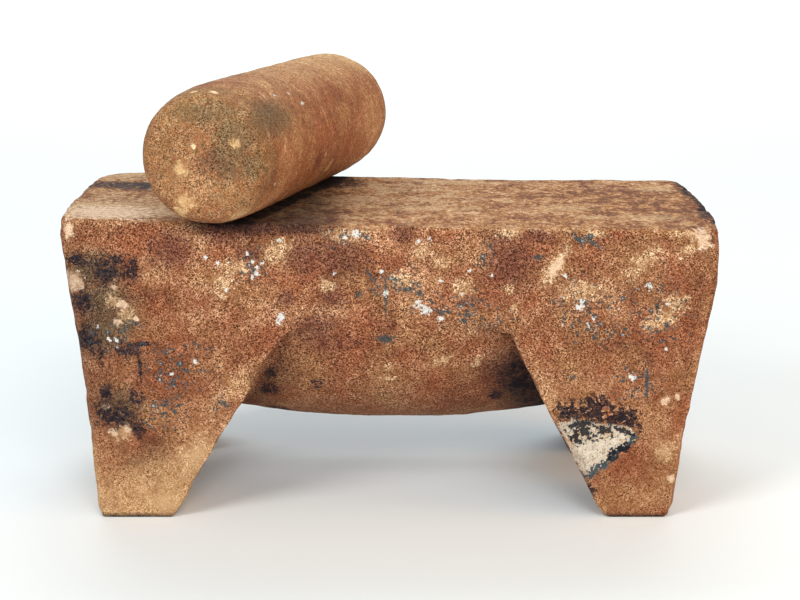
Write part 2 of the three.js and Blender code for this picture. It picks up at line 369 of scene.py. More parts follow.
# Painted shade in the belly's recesses, a painted shadow line round the soles, and a dark left front edge:
# how strong each is, and pairs of where it is none and where it is full
LEFT_RECESS_SHADE = 0.55
RIGHT_RECESS_SHADE = 0.93
GRIME_EDGE = 0.28
LOW_BELLY_SHADE = 0.17
SOLE_SHADOW = 0.85
LEFT_LEG_GAP = (0.075, -0.004)
RIGHT_LEG_GAP = (0.100, 0.022)
LEFT_LEG_GATE = (0.002, 0.014)
RIGHT_LEG_GATE = (-0.025, -0.008)
BEHIND_FACE = (0.004, 0.016)
BELLY_TOP = (0.118, 0.126)
LOW_BELLY = (0.090, 0.055)
LEFT_EDGE = (-0.155, -0.195)
LEFT_EDGE_FOOT = (0.045, 0.075)
LEFT_EDGE_TOP = (0.188, 0.165)
FRONT_DEPTH = 0.08
SOLE_LINE = (0.0030, 0.0008)

# Painted shadow of the hand stone, with some soot, on the top beside the line where the hand stone touches it
CONTACT_X = -0.0807
CONTACT_SLOPE = 0.277
LINE_START = (-0.030, -0.010)
STRIP_WIDTH = 0.030
STRIP_FULL = 0.65
PATCH_SHARE = 0.72
PATCH_X = (-0.020, -0.054)
PATCH_Y = (0.060, 0.020)
STRIP_TOP = (0.188, 0.194)
STRIP_RIM = (0.104, 0.098)


class Spot(NamedTuple):
    """A stain in space: its middle and its half sizes along the three axes."""

    middle: tuple
    half: tuple


def spot_rows(*rows):
    """Stains in space, from rows of their values."""
    return tuple(Spot(*row) for row in rows)


TOP_DUST_SPOTS = spot_rows(
    ((-0.196, 0.080, 0.200), (0.020, 0.012, 0.012)),
    ((-0.178, -0.062, 0.200), (0.050, 0.034, 0.012)),
    ((-0.020, 0.002, 0.196), (0.016, 0.014, 0.008)), ((0.022, -0.030, 0.195), (0.020, 0.010, 0.008)),
    ((0.120, -0.022, 0.194), (0.014, 0.010, 0.008)), ((0.135, -0.056, 0.194), (0.012, 0.007, 0.008)),
    ((0.172, -0.056, 0.194), (0.018, 0.010, 0.008)), ((0.190, 0.060, 0.193), (0.012, 0.014, 0.008)),
    ((0.050, 0.080, 0.194), (0.030, 0.008, 0.008)), ((0.040, 0.020, 0.194), (0.008, 0.006, 0.008)),
)
# The long third spot is a painted highlight on the rounded back edge of the top.
TOP_LIGHTER_AND_HIGHLIGHT_SPOTS = spot_rows(
    ((0.002, 0.055, 0.195), (0.022, 0.026, 0.012)), ((0.100, -0.042, 0.194), (0.018, 0.012, 0.012)),
    ((0.045, 0.092, 0.195), (0.075, 0.012, 0.012)), ((0.153, 0.086, 0.194), (0.014, 0.010, 0.012)),
)
TOP_DARK_SPOTS = spot_rows(
    ((0.181, -0.018, 0.194), (0.016, 0.030, 0.012)), ((0.108, 0.020, 0.194), (0.014, 0.016, 0.012)),
    ((0.160, 0.032, 0.194), (0.028, 0.018, 0.012)),
)
TOP_CREAM_SPOTS = spot_rows(
    ((-0.182, -0.074, 0.200), (0.030, 0.024, 0.012)),
)
# The second spot, just right of the hand stone's contact line, is painted shadow of the hand stone, with some
# soot.
TOP_SOOT_SPOTS = spot_rows(
    ((-0.182, 0.036, 0.200), (0.026, 0.011, 0.014)), ((-0.040, 0.070, 0.197), (0.016, 0.018, 0.008)),
    ((0.215, -0.050, 0.190), (0.007, 0.022, 0.009)), ((0.215, 0.000, 0.192), (0.004, 0.040, 0.005)),
    ((0.212, 0.060, 0.192), (0.004, 0.030, 0.005)),
)
HAND_MOSS_SPOTS = spot_rows(
    ((0.023, -0.146, 0.012), (0.016, 0.020, 0.024)), ((0.036, -0.118, 0.024), (0.012, 0.032, 0.012)),
    ((0.033, -0.141, -0.002), (0.009, 0.016, 0.012)),
    ((0.004, -0.141, 0.029), (0.026, 0.014, 0.009)),
)
HAND_DUST_SPOTS = spot_rows(
    ((-0.010, -0.146, -0.027), (0.006, 0.012, 0.005)),
    ((-0.014, -0.146, -0.034), (0.004, 0.012, 0.004)),
    ((-0.012, -0.147, -0.006), (0.004, 0.008, 0.004)),
    ((0.024, -0.147, 0.011), (0.003, 0.008, 0.003)), ((0.010, 0.130, 0.040), (0.028, 0.024, 0.012)),
)
# The long second spot along the lower side near the contact is partly painted bounce light and partly dust.
HAND_LIGHTER_AND_BOUNCE_SPOTS = spot_rows(
    ((0.006, -0.147, -0.008), (0.012, 0.010, 0.014)),
    ((0.028, 0.000, -0.032), (0.012, 0.120, 0.010)), ((0.040, 0.085, -0.012), (0.012, 0.030, 0.014)),
)
HAND_CREAM_SPOTS = spot_rows(
    ((0.006, -0.136, 0.040), (0.0035, 0.002, 0.002)),
    ((-0.007, -0.136, 0.040), (0.0025, 0.002, 0.002)),
)
HAND_END = -0.125
HAND_END_MOSS = 0.46
HAND_SCRATCHES = 1.1
HAND_WORN_FRONT = (-0.142, -0.115)
HAND_WORN_HEIGHT = (-0.034, 0.012)
HAND_RAGGED = 0.02
HAND_LUMP = 0.03
HAND_CLOUD = 0.09
HAND_TONE_SEED = 6
# The top of the hand stone is lighter in tone and paler: partly dust, partly a painted highlight.
HAND_TOP_DUST_AND_HIGHLIGHT = 0.6
HAND_TOP = (0.02, 0.044)
HAND_PALE_DUST_AND_HIGHLIGHT = 0.6
HAND_PALE_TOP = (0.024, 0.044)
HAND_PALE_BACK = (-0.14, 0.06)
HAND_LIME_SPOTS = spot_rows(
    ((0.028, -0.085, 0.034), (0.0013, 0.0020, 0.0013)),
    ((0.036, -0.052, 0.026), (0.0013, 0.0020, 0.0013)),
)


class Scatter(NamedTuple):
    """Stains at random places: how many, their least and largest half size, and the seed of the draw."""

    count: int
    low: float
    high: float
    seed: int


# Mesh layers that the stone material reads, and the stains that go into each of them
# The last layer is painted shade and shadow, with some grime.
STONE_LAYERS = (
    "worn", "top", "coarse", "tone", "pale", "dust", "cream", "lime", "slate", "veins", "plum", "soot",
    "crust", "scar", "scar_rim", "scar_soot", "moss", "painted_shade_and_grime",
)
FRONT_STAINS = {
    "dust": DUST_MARKS,
    "cream": CREAM_MARKS,
    "lime": LIME_MARKS,
    "slate": SLATE_MARKS,
    "veins": VEIN_MARKS,
    "plum": PLUM_AND_SHADOW_MARKS,
    "soot": SOOT_MARKS,
    "crust": CRUST_MARKS,
    "scar_soot": SCAR_SOOT_MARKS,
    "moss": VEIL_MARKS,
}
BELLY_STAINS = {"dust": BELLY_DUST_MARKS, "soot": BELLY_SOOT_MARKS}
TOP_STAINS = {"dust": TOP_DUST_SPOTS, "cream": TOP_CREAM_SPOTS}
HIDDEN_STAINS = {
    "dust": Scatter(34, 0.004, 0.014, SPECK_SEED),
    "cream": Scatter(16, 0.002, 0.004, SPECK_SEED + 1),
    "lime": Scatter(40, 0.0013, 0.0024, SPECK_SEED + 2),
    "veins": Scatter(26, 0.008, 0.018, SPECK_SEED + 11),
    "plum": Scatter(18, 0.008, 0.020, SPECK_SEED + 4),
    "soot": Scatter(12, 0.004, 0.012, SPECK_SEED + 5),
}
HAND_STAINS = {
    "dust": (HAND_DUST_SPOTS, Scatter(9, 0.003, 0.007, SPECK_SEED + 6)),
    "cream": (HAND_CREAM_SPOTS, Scatter(6, 0.0012, 0.002, SPECK_SEED + 7)),
    "lime": (HAND_LIME_SPOTS, Scatter(12, 0.001, 0.0016, SPECK_SEED + 8)),
}
HAND_UNDERSIDE_PLUM = Scatter(6, 0.006, 0.016, SPECK_SEED + 10)

# Soft stains, whose layers have their colours' names: (layer, tearing, softness of the edge, strength)
SOFT_STAINS = (
    ("plum", 1.5, 0.34, 0.72),
    ("moss", 1.0, 0.36, 0.72),
    ("dust", 2.0, 0.32, 0.68),
    ("cream", 1.5, 0.20, 0.86),
)

# Camera: where the photograph was taken from
CAMERA_PLACE = (0.005413, -1.293253, 0.4149)
CAMERA_PITCH = math.radians(90 - 12.76)
CAMERA_LENS = 84.825
SENSOR_WIDTH = 36.0


def linear(red, green, blue):
    """A display colour from 0 to 255 as the linear values that a shader takes."""
    shares = [channel / 255 for channel in (red, green, blue)]
    return tuple(s / 12.92 if s <= 0.04045 else ((s + 0.055) / 1.055) ** 2.4 for s in shares)


def length(name, description, default):
    """A size in metres that a user may change."""
    return FloatProperty(name=name, description=description, default=default, unit="LENGTH", precision=4)


def colour(name, description, default):
    """A colour that a user may change."""
    return FloatVectorProperty(name=name, description=description, default=default, subtype="COLOR",
                               size=3, min=0, max=1)


class SlabSettings(bpy.types.PropertyGroup):
    """Sizes of the grinding slab."""

    half_length: length("Half length", "From the middle to an end, before the end leans", 0.210)
    half_depth: length("Half depth", "From the middle to the front or back face", 0.100)
    top_left: length("Top at the left", "Height of the worn top at the left end", 0.2006)
    top_middle: length("Top in the middle", "Height of the worn top in the middle", 0.1952)
    top_right: length("Top at the right", "Height of the worn top at the right end", 0.193)
    belly_spring: length("Belly spring", "Height where the belly leaves the faces", 0.124)
    belly_bottom: length("Belly bottom", "Lowest point of the belly", 0.0455)
    steps_x: IntProperty(name="Steps along", description="Mesh steps along the slab", default=222)
    steps_y: IntProperty(name="Steps across", description="Mesh steps from front to back", default=96)
    steps_z: IntProperty(name="Steps up", description="Mesh steps from the underside to the top", default=82)


class HandStoneSettings(bpy.types.PropertyGroup):
    """Sizes of the hand stone."""

    stone_length: length("Length", "Length along its axis", 0.294)
    radius: length("Radius", "Radius of its body", 0.0444)
    front_fullness: FloatProperty(name="Front fullness", description="The higher, the flatter the front end",
                                  default=60.0)
    back_fullness: FloatProperty(name="Back fullness", description="The higher, the flatter the back end",
                                 default=9.2)
    edge_power: FloatProperty(name="Edge power", description="Shape of the rounding at both ends",
                              default=4.6)
    taper: FloatProperty(name="Taper", description="Share of the radius lost towards the front end",
                         default=0.12)
    taper_power: FloatProperty(name="Taper power", description="The higher, the later the taper", default=8.0)
    turn: FloatProperty(name="Turn", description="Turn in plan on the slab", default=math.radians(-15.5),
                        subtype="ANGLE")
    tilt: FloatProperty(name="Tilt", description="Tilt with the slope of the slab's top", default=-0.00635,
                        subtype="ANGLE")
    rings: IntProperty(name="Rings", description="Mesh steps along the outline", default=250)
    sides: IntProperty(name="Sides", description="Mesh steps round the axis", default=200)


class StoneColours(bpy.types.PropertyGroup):
    """Colours of the weathered stone."""

    dark: colour("Dark", "Darkest red-brown of the sound stone", linear(84, 43, 26))
    middle: colour("Middle", "Usual colour of the sound stone", linear(136, 84, 54))
    light: colour("Light", "Lightest tan of the sound stone", linear(176, 128, 91))
    ochre: colour("Ochre", "Yellower drifts in the sound stone", linear(149, 104, 66))
    brick: colour("Brick", "Redder drifts in the sound stone", linear(142, 78, 47))
    # Plum is also the paint of a painted shadow under the hand stone along the front's top edge.
    plum: colour("Plum", "Dark red areas", linear(92, 48, 36))
    worn: colour("Worn", "Dusty tan of the worn top", linear(175, 119, 69))
    worn_dark: colour("Worn, dark", "Dark streaks on the worn top", linear(117, 68, 39))
    # Pale is also painted, in part as a highlight, on the legs' inner edges and the hand stone's top.
    pale: colour("Pale", "Yellowish tan of the bleached foot", linear(188, 146, 103))
    dust: colour("Dust", "Pale tan dust", linear(198, 159, 117))
    cream: colour("Cream", "Pale pinkish spots", linear(222, 186, 154))
    lime: colour("Lime", "White lime flecks", linear(216, 213, 207))
    slate: colour("Slate", "Grey-teal veins", linear(58, 67, 69))
    # Soot is the paint of the painted shade in the belly's recesses, the painted shadows of the hand stone
    # and the soles, and some grime.
    soot: colour("Soot", "Black-brown soot", linear(23, 14, 19))
    crust: colour("Crust", "Burnt crust above the bare patch", linear(38, 19, 24))
    moss: colour("Moss", "Grey-green stain", linear(86, 74, 53))
    bare: colour("Bare stone", "Inner stone in the bare patch", linear(206, 188, 168))
    char: colour("Char", "Blue-black stains in the bare patch", linear(15, 18, 29))
    hand_tint: colour("Hand stone tint", "Half of what the hand stone's colours are multiplied by",
                      (0.62, 0.63, 0.57))


class StageSettings(bpy.types.PropertyGroup):
    """Floor and light of the studio."""

    floor: colour("Floor", "Pale floor", (0.86, 0.86, 0.85))
    floor_half: length("Floor half width", "From the middle of the floor to its edge", 14.0)
    sky: colour("Sky", "Soft light from all round", (0.71, 0.88, 1.0))
    sky_strength: FloatProperty(name="Sky strength", description="Strength of the soft light", default=0.30)


def hashed(i, j, k, seed):
    """Random values from -1 to 1 for whole-number lattice places: their mixed bits, scaled."""
    mixed = (i * 0x8DA6B343) ^ (j * 0xD8163841) ^ (k * 0xCB1AB31F) ^ (seed * 0x9E3779B1)
    mixed &= 0xFFFFFFFF
    mixed = ((mixed ^ (mixed >> 15)) * 0x2C1B3C6D) & 0xFFFFFFFF
    mixed = ((mixed ^ (mixed >> 12)) * 0x297A2D39) & 0xFFFFFFFF
    mixed ^= mixed >> 15
    return mixed / 0x7FFFFFFF - 1.0


def smooth_noise(points, size, seed=NOISE_SEED):
    """Lumps of a given size, about -1 to 1: random lattice values blended by a quintic curve on each axis."""
    place = points / size + 1000.0
    cell = np.floor(place).astype(np.int64)
    part = place - cell
    fade = part ** 3 * (part * (part * 6 - 15) + 10)
    total = np.zeros(len(points))
    for corner in range(8):
        step = np.array([corner & 1, corner >> 1 & 1, corner >> 2 & 1])
        share = np.prod(np.where(step, fade, 1 - fade), axis=1)
        total += share * hashed(*(cell + step).T, seed)
    return total


def smooth_step(low, high, value):
    """0 below low, 1 above high, and a smooth cubic between."""
    share = np.clip((value - low) / (high - low), 0, 1)
    return share * share * (3 - 2 * share)


def soft_max(a, b, blend):
    """The higher of two heights, with a fillet where they meet."""
    near = np.clip(1 - np.abs(a - b) / blend, 0, 1)
    return np.maximum(a, b) + near * near * blend / 4


def soft_min(a, b, blend):
    """The lower of two heights, with a fillet where they meet."""
    return -soft_max(-a, -b, blend)


def box_surface(counts):
    """Lattice places on the surface of a divided box, and its quads, facing outwards.

    Each side is a grid of two whole-number parameters. Places that sides share are merged.
    """
    places = []
    quads = []
    first = 0
    for axis in range(3):
        across, up = (axis + 1) % 3, (axis + 2) % 3
        u, v = np.meshgrid(np.arange(counts[across] + 1), np.arange(counts[up] + 1), indexing="ij")
        corner = np.arange(u.size).reshape(u.shape)
        quad = np.stack([corner[:-1, :-1], corner[1:, :-1], corner[1:, 1:], corner[:-1, 1:]], axis=-1)
        for side in (0, counts[axis]):
            sheet = np.empty((u.size, 3), dtype=np.int64)
            sheet[:, axis] = side
            sheet[:, across] = u.ravel()
            sheet[:, up] = v.ravel()
            outward = quad if side else quad[..., ::-1]
            places.append(sheet)
            quads.append(outward.reshape(-1, 4) + first)
            first += u.size
    places = np.concatenate(places)
    key = (places[:, 0] * (counts[1] + 1) + places[:, 1]) * (counts[2] + 1) + places[:, 2]
    _, kept, merged = np.unique(key, return_index=True, return_inverse=True)
    return places[kept], merged.ravel()[np.concatenate(quads)]


def crowded_lines(half, steps, crowding):
    """Mesh lines from -half to half, at equal shares of the running sum of crowding along them."""
    fine = np.linspace(-half, half, 4001)
    weight = crowding(fine)
    running = np.concatenate([[0.0], np.cumsum((weight[1:] + weight[:-1]) / 2)])
    return np.interp(np.linspace(0, running[-1], steps + 1), running, fine)


def along_crowding(x):
    """More lines on the sloping inner faces of the legs, and still more at the rounded rims."""
    reach = np.abs(x)
    slope = smooth_step(*SLOPE_START, reach) * (1 - smooth_step(*SLOPE_END, reach))
    return 1 + SLOPE_CROWDING * slope + RIM_CROWDING * smooth_step(*RIM_START, reach)


def across_crowding(y):
    """Lines by the arc of the belly's ellipse, and more on the steep faces between front and back legs."""
    reach = np.abs(y)
    share = np.clip(reach / ARC_HALF_DEPTH, 0, ARC_END)
    arc = np.sqrt(1 + (ARC_HEIGHT * share / np.sqrt(1 - share * share)) ** 2)
    wall = smooth_step(*WALL_START, reach) * (1 - smooth_step(*WALL_END, reach))
    return arc + WALL_CROWDING * wall


def edge_drop(distance, radius):
    """Drop of a rounded edge at a distance from the rim: a quarter circle."""
    inside = np.clip(radius - distance, 0, radius)
    return radius - np.sqrt(radius * radius - inside * inside)


def top_height(slab, x):
    """Height of the worn top: a parabola through the heights of its ends and middle."""
    along = x / slab.half_length
    fall = (slab.top_right - slab.top_left) / 2
    dish = (slab.top_right + slab.top_left) / 2 - slab.top_middle
    return slab.top_middle + fall * along + dish * along * along


def leg_height(slab, legs, reach):
    """Height of a leg's inner face at a reach from the middle, below 0 past its foot.

    The reach at a height is the foot's, less the flare times the height, less a parabola for the swell. That
    is a quadratic in the height, and this is its root nearest the foot. With no swell it is a straight line.
    """
    bend = 4 * legs.swell / slab.belly_spring
    slope = legs.flare + bend
    gap = legs.foot - reach
    if not bend:
        return gap / slope
    root = np.sqrt(np.maximum(slope * slope - 4 * bend / slab.belly_spring * gap, 0))
    return (slope - root) * slab.belly_spring / (2 * bend)


def side_leg_height(slab, x):
    """Height of the inner faces of the left legs at the left and of the right legs at the right."""
    return np.where(x < 0, leg_height(slab, LEFT_LEGS, -x), leg_height(slab, RIGHT_LEGS, x))


def underside_height(slab, x, y):
    """Height of the underside.

    The belly is half an ellipse from front to back. Towards the ends its keel rises and its depth shrinks,
    both as a parabola. The hollow is the lower of the belly and the higher of the legs' inner faces, and
    never below the feet, with fillets where they meet.
    """
    keel = slab.belly_bottom + np.where(x < 0, *BELLY_RISE) * x * x
    half_depth = slab.half_depth * (1 - BELLY_PINCH * np.minimum(np.abs(x), PINCH_END) ** 2)
    across = np.sqrt(np.clip(1 - (y / half_depth) ** 2, 0, 1))
    belly = slab.belly_spring - (slab.belly_spring - keel) * across
    between_sides = side_leg_height(slab, x)
    between_ends = leg_height(slab, END_LEGS, np.abs(y))
    hollow = soft_min(belly, soft_max(between_sides, between_ends, CREASE_BLEND), CREASE_BLEND)
    return soft_max(hollow, 0.0, np.where(x < 0, *FOOT_BLEND))


def lower_edge_radius(slab, x):
    """Radius of the lower front and back edges: small along the legs, larger over the belly between them."""
    over_belly = smooth_step(0.0, BELLY_EDGE_RUN, side_leg_height(slab, x) - slab.belly_spring)
    return FOOT_EDGE_RADIUS + (BELLY_EDGE_RADIUS - FOOT_EDGE_RADIUS) * over_belly


def round_corners(slab, x, y):
    """Rounds the upright corners: in a corner's square, each square ring becomes a quarter circle."""
    for (side_x, side_y), radius in CORNER_RADIUS.items():
        along = np.maximum(side_x * x - (slab.half_length - radius), 0)
        across = np.maximum(side_y * y - (slab.half_depth - radius), 0)
        pulled = 1 - np.maximum(along, across) / np.maximum(np.hypot(along, across), 1e-9)
        pulled = np.where((along > 0) & (across > 0), pulled, 0)
        x = x - side_x * along * pulled
        y = y - side_y * across * pulled
    return x, y


def lean_ends(slab, x, y, z):
    """Moves the ends to their outline: leaning out from the feet by a power curve, and bowed in plan."""
    left, right = np.array(LEFT_END), np.array(RIGHT_END)
    foot, widest, widest_height, curve, bow, pull_in = np.where(x[:, None] < 0, left, right).T
    share = np.clip((np.abs(x) - LEAN_START) / (slab.half_length - LEAN_START), 0, 1)
    climb = np.minimum(z / widest_height, 1) ** curve
    pulled = pull_in * np.maximum(z - widest_height, 0)
    bowed = bow * (1 - (y / slab.half_depth) ** 2)
    reach = foot + (widest - foot) * climb - pulled + bowed - slab.half_length
    return x + np.sign(x) * share * reach


def slab_form(slab):
    """The slab's plain form: every upright mesh line runs from the underside to the top, and the box of
    lines is then rounded at its corners and leant out at its ends."""
    counts = (slab.steps_x, slab.steps_y, slab.steps_z)
    places, quads = box_surface(counts)
    x = crowded_lines(slab.half_length, slab.steps_x, along_crowding)[places[:, 0]]
    y = crowded_lines(slab.half_depth, slab.steps_y, across_crowding)[places[:, 1]]
    climb = places[:, 2] / slab.steps_z
    end_rim, side_rim = slab.half_length - np.abs(x), slab.half_depth - np.abs(y)
    top = top_height(slab, x) - edge_drop(np.minimum(end_rim, side_rim), TOP_EDGE_RADIUS)
    side_drop = edge_drop(side_rim, lower_edge_radius(slab, x))
    end_drop = edge_drop(end_rim, np.where(x < 0, *FOOT_END_RADIUS))
    bottom = underside_height(slab, x, y) + np.maximum(side_drop, end_drop)
    z = bottom + (top - bottom) * climb
    x, y = round_corners(slab, x, y)
    return np.stack([lean_ends(slab, x, y, z), y, z], axis=1), quads


def point_normals(points, quads):
    """Normals of the points: the sum of the cross products of their quads' diagonals, at length 1."""
    corners = points[quads]
    facing = np.cross(corners[:, 2] - corners[:, 0], corners[:, 3] - corners[:, 1])
    total = np.zeros_like(points)
    for corner in range(4):
        np.add.at(total, quads[:, corner], facing)
    return total / np.maximum(np.linalg.norm(total, axis=1, keepdims=True), 1e-12)


def unevenness(points, layers):
    """Height of the natural lumps: one layer of noise for each size."""
    total = np.zeros(len(points))
    for layer, (size, height) in enumerate(layers):
        total += height * smooth_noise(points, size, NOISE_SEED + 10 * layer)
    return total


def nicks_along(edges, seed):
    """Chips at random places along worn edges, with random sizes."""
    draw = np.random.default_rng(seed)
    chips = []
    for edge in edges:
        start, end = np.array(edge.start), np.array(edge.end)
        for share, size in zip(draw.random(edge.nicks), draw.random(edge.nicks) ** 2):
            radius = NICK_RADIUS + NICK_RADIUS_RANGE * size
            depth = NICK_DEPTH + NICK_DEPTH_RANGE * size
            chips.append(Chip(tuple(start + (end - start) * share), radius, depth))
    return chips


def chip_depth(points, chips):
    """Depth lost to chips: a smooth bowl round each middle, roughened by noise on its radius."""
    rough = 1 + CHIP_ROUGHNESS * smooth_noise(points, CHIP_LUMP, NOISE_SEED + 90)
    total = np.zeros(len(points))
    for chip in chips:
        distance = np.linalg.norm(points - np.array(chip.middle), axis=1) * rough
        total += chip.depth * smooth_step(0.0, 1.0, 1 - distance / chip.radius)
    return total


def edge_wear_and_highlight(points, edges):
    """1 on worn edges, falling to 0 at a short distance from the straight lines between their ends."""
    nearest = np.full(len(points), np.inf)
    for edge in edges:
        start, along = np.array(edge.start), np.array(edge.end) - np.array(edge.start)
        share = np.clip((points - start) @ along / (along @ along), 0, 1)
        nearest = np.minimum(nearest, np.linalg.norm(points - start - share[:, None] * along, axis=1))
    return np.clip(1 - nearest / EDGE_WEAR_AND_HIGHLIGHT_REACH, 0, 1)


def polygon_inside(x, z, corners, sides=slice(None)):
    """Distance inside a convex outline: the least distance to the lines through its sides, below 0 outside.

    Only the chosen sides count.
    """
    corner = np.array(corners)
    along = np.roll(corner, -1, axis=0) - corner
    normal = np.stack([along[:, 1], -along[:, 0]], axis=1) / np.linalg.norm(along, axis=1, keepdims=True)
    middle = corner.mean(axis=0)
    side = np.sign(((middle - corner) * normal).sum(axis=1))
    offsets = (np.stack([x, z], axis=1)[:, None, :] - corner) * normal
    return (offsets.sum(axis=2) * side)[:, sides].min(axis=1)


def front_marks(points, marks, front, wrap=MARK_WRAP):
    """How far points are inside stains on the front face, from 0 to 1.

    1 in the middle, a half at the ellipse of the half sizes, and 0 at twice that, fading behind the face.
    A middle is moved to the nearest point of the mesh, so that a stain as small as a mesh step isn't lost.
    """
    depth = np.maximum(points[:, 1] - front, 0) / wrap
    nearness = np.zeros(len(points))
    for mark in marks:
        turn = math.radians(mark.turn)
        nearest = np.argmin(np.hypot(points[:, 0] - mark.x, points[:, 2] - mark.z) + SNAP_DEPTH * depth)
        x, z = points[:, 0] - points[nearest, 0], points[:, 2] - points[nearest, 2]
        along = (x * math.cos(turn) + z * math.sin(turn)) / mark.half_x
        across = (z * math.cos(turn) - x * math.sin(turn)) / mark.half_z
        distance = np.sqrt(along * along + across * across + depth * depth)
        nearness = np.maximum(nearness, 1 - distance / 2)
    return nearness


def strongest(*layers):
    """The highest of several layers at each point."""
    return np.maximum.reduce(layers)


def space_marks(points, spots):
    """How far points are inside stains in space: as front_marks, with an ellipsoid for each stain."""
    nearness = np.zeros(len(points))
    for spot in spots:
        distance = np.linalg.norm((points - np.array(spot.middle)) / np.array(spot.half), axis=1)
        nearness = np.maximum(nearness, 1 - distance / 2)
    return nearness


def scattered_spots(points, scatter):
    """Stains at random points of a surface, with random half sizes, more of them small."""
    draw = np.random.default_rng(scatter.seed)
    chosen = draw.choice(len(points), scatter.count, replace=False)
    sizes = scatter.low + (scatter.high - scatter.low) * draw.random(scatter.count) ** 2
    return [Spot(tuple(points[i]), (size, size, size)) for i, size in zip(chosen, sizes)]


def mesh_piece(name, points, faces, layers, material):
    """A smooth-shaded mesh object at the origin, with one float attribute for each layer."""
    mesh = bpy.data.meshes.new(name)
    mesh.from_pydata(points, [], faces)
    mesh.polygons.foreach_set("use_smooth", np.ones(len(mesh.polygons), dtype=bool))
    for layer, values in layers.items():
        attribute = mesh.attributes.new(layer, "FLOAT", "POINT")
        attribute.data.foreach_set("value", np.asarray(values, dtype=np.float32))
    mesh.materials.append(material)
    mesh.update()
    piece = bpy.data.objects.new(name, mesh)
    bpy.context.collection.objects.link(piece)
    return piece


def fit_to_node(points, node):
    """The shift that brings the middle of a form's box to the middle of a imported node's box."""
    low, high = (np.array(corner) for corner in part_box(node))
    return (low + high) / 2 - (points.min(axis=0) + points.max(axis=0)) / 2


def opaque(shade):
    """A colour property with full alpha, as node sockets take it."""
    return (*shade, 1.0)


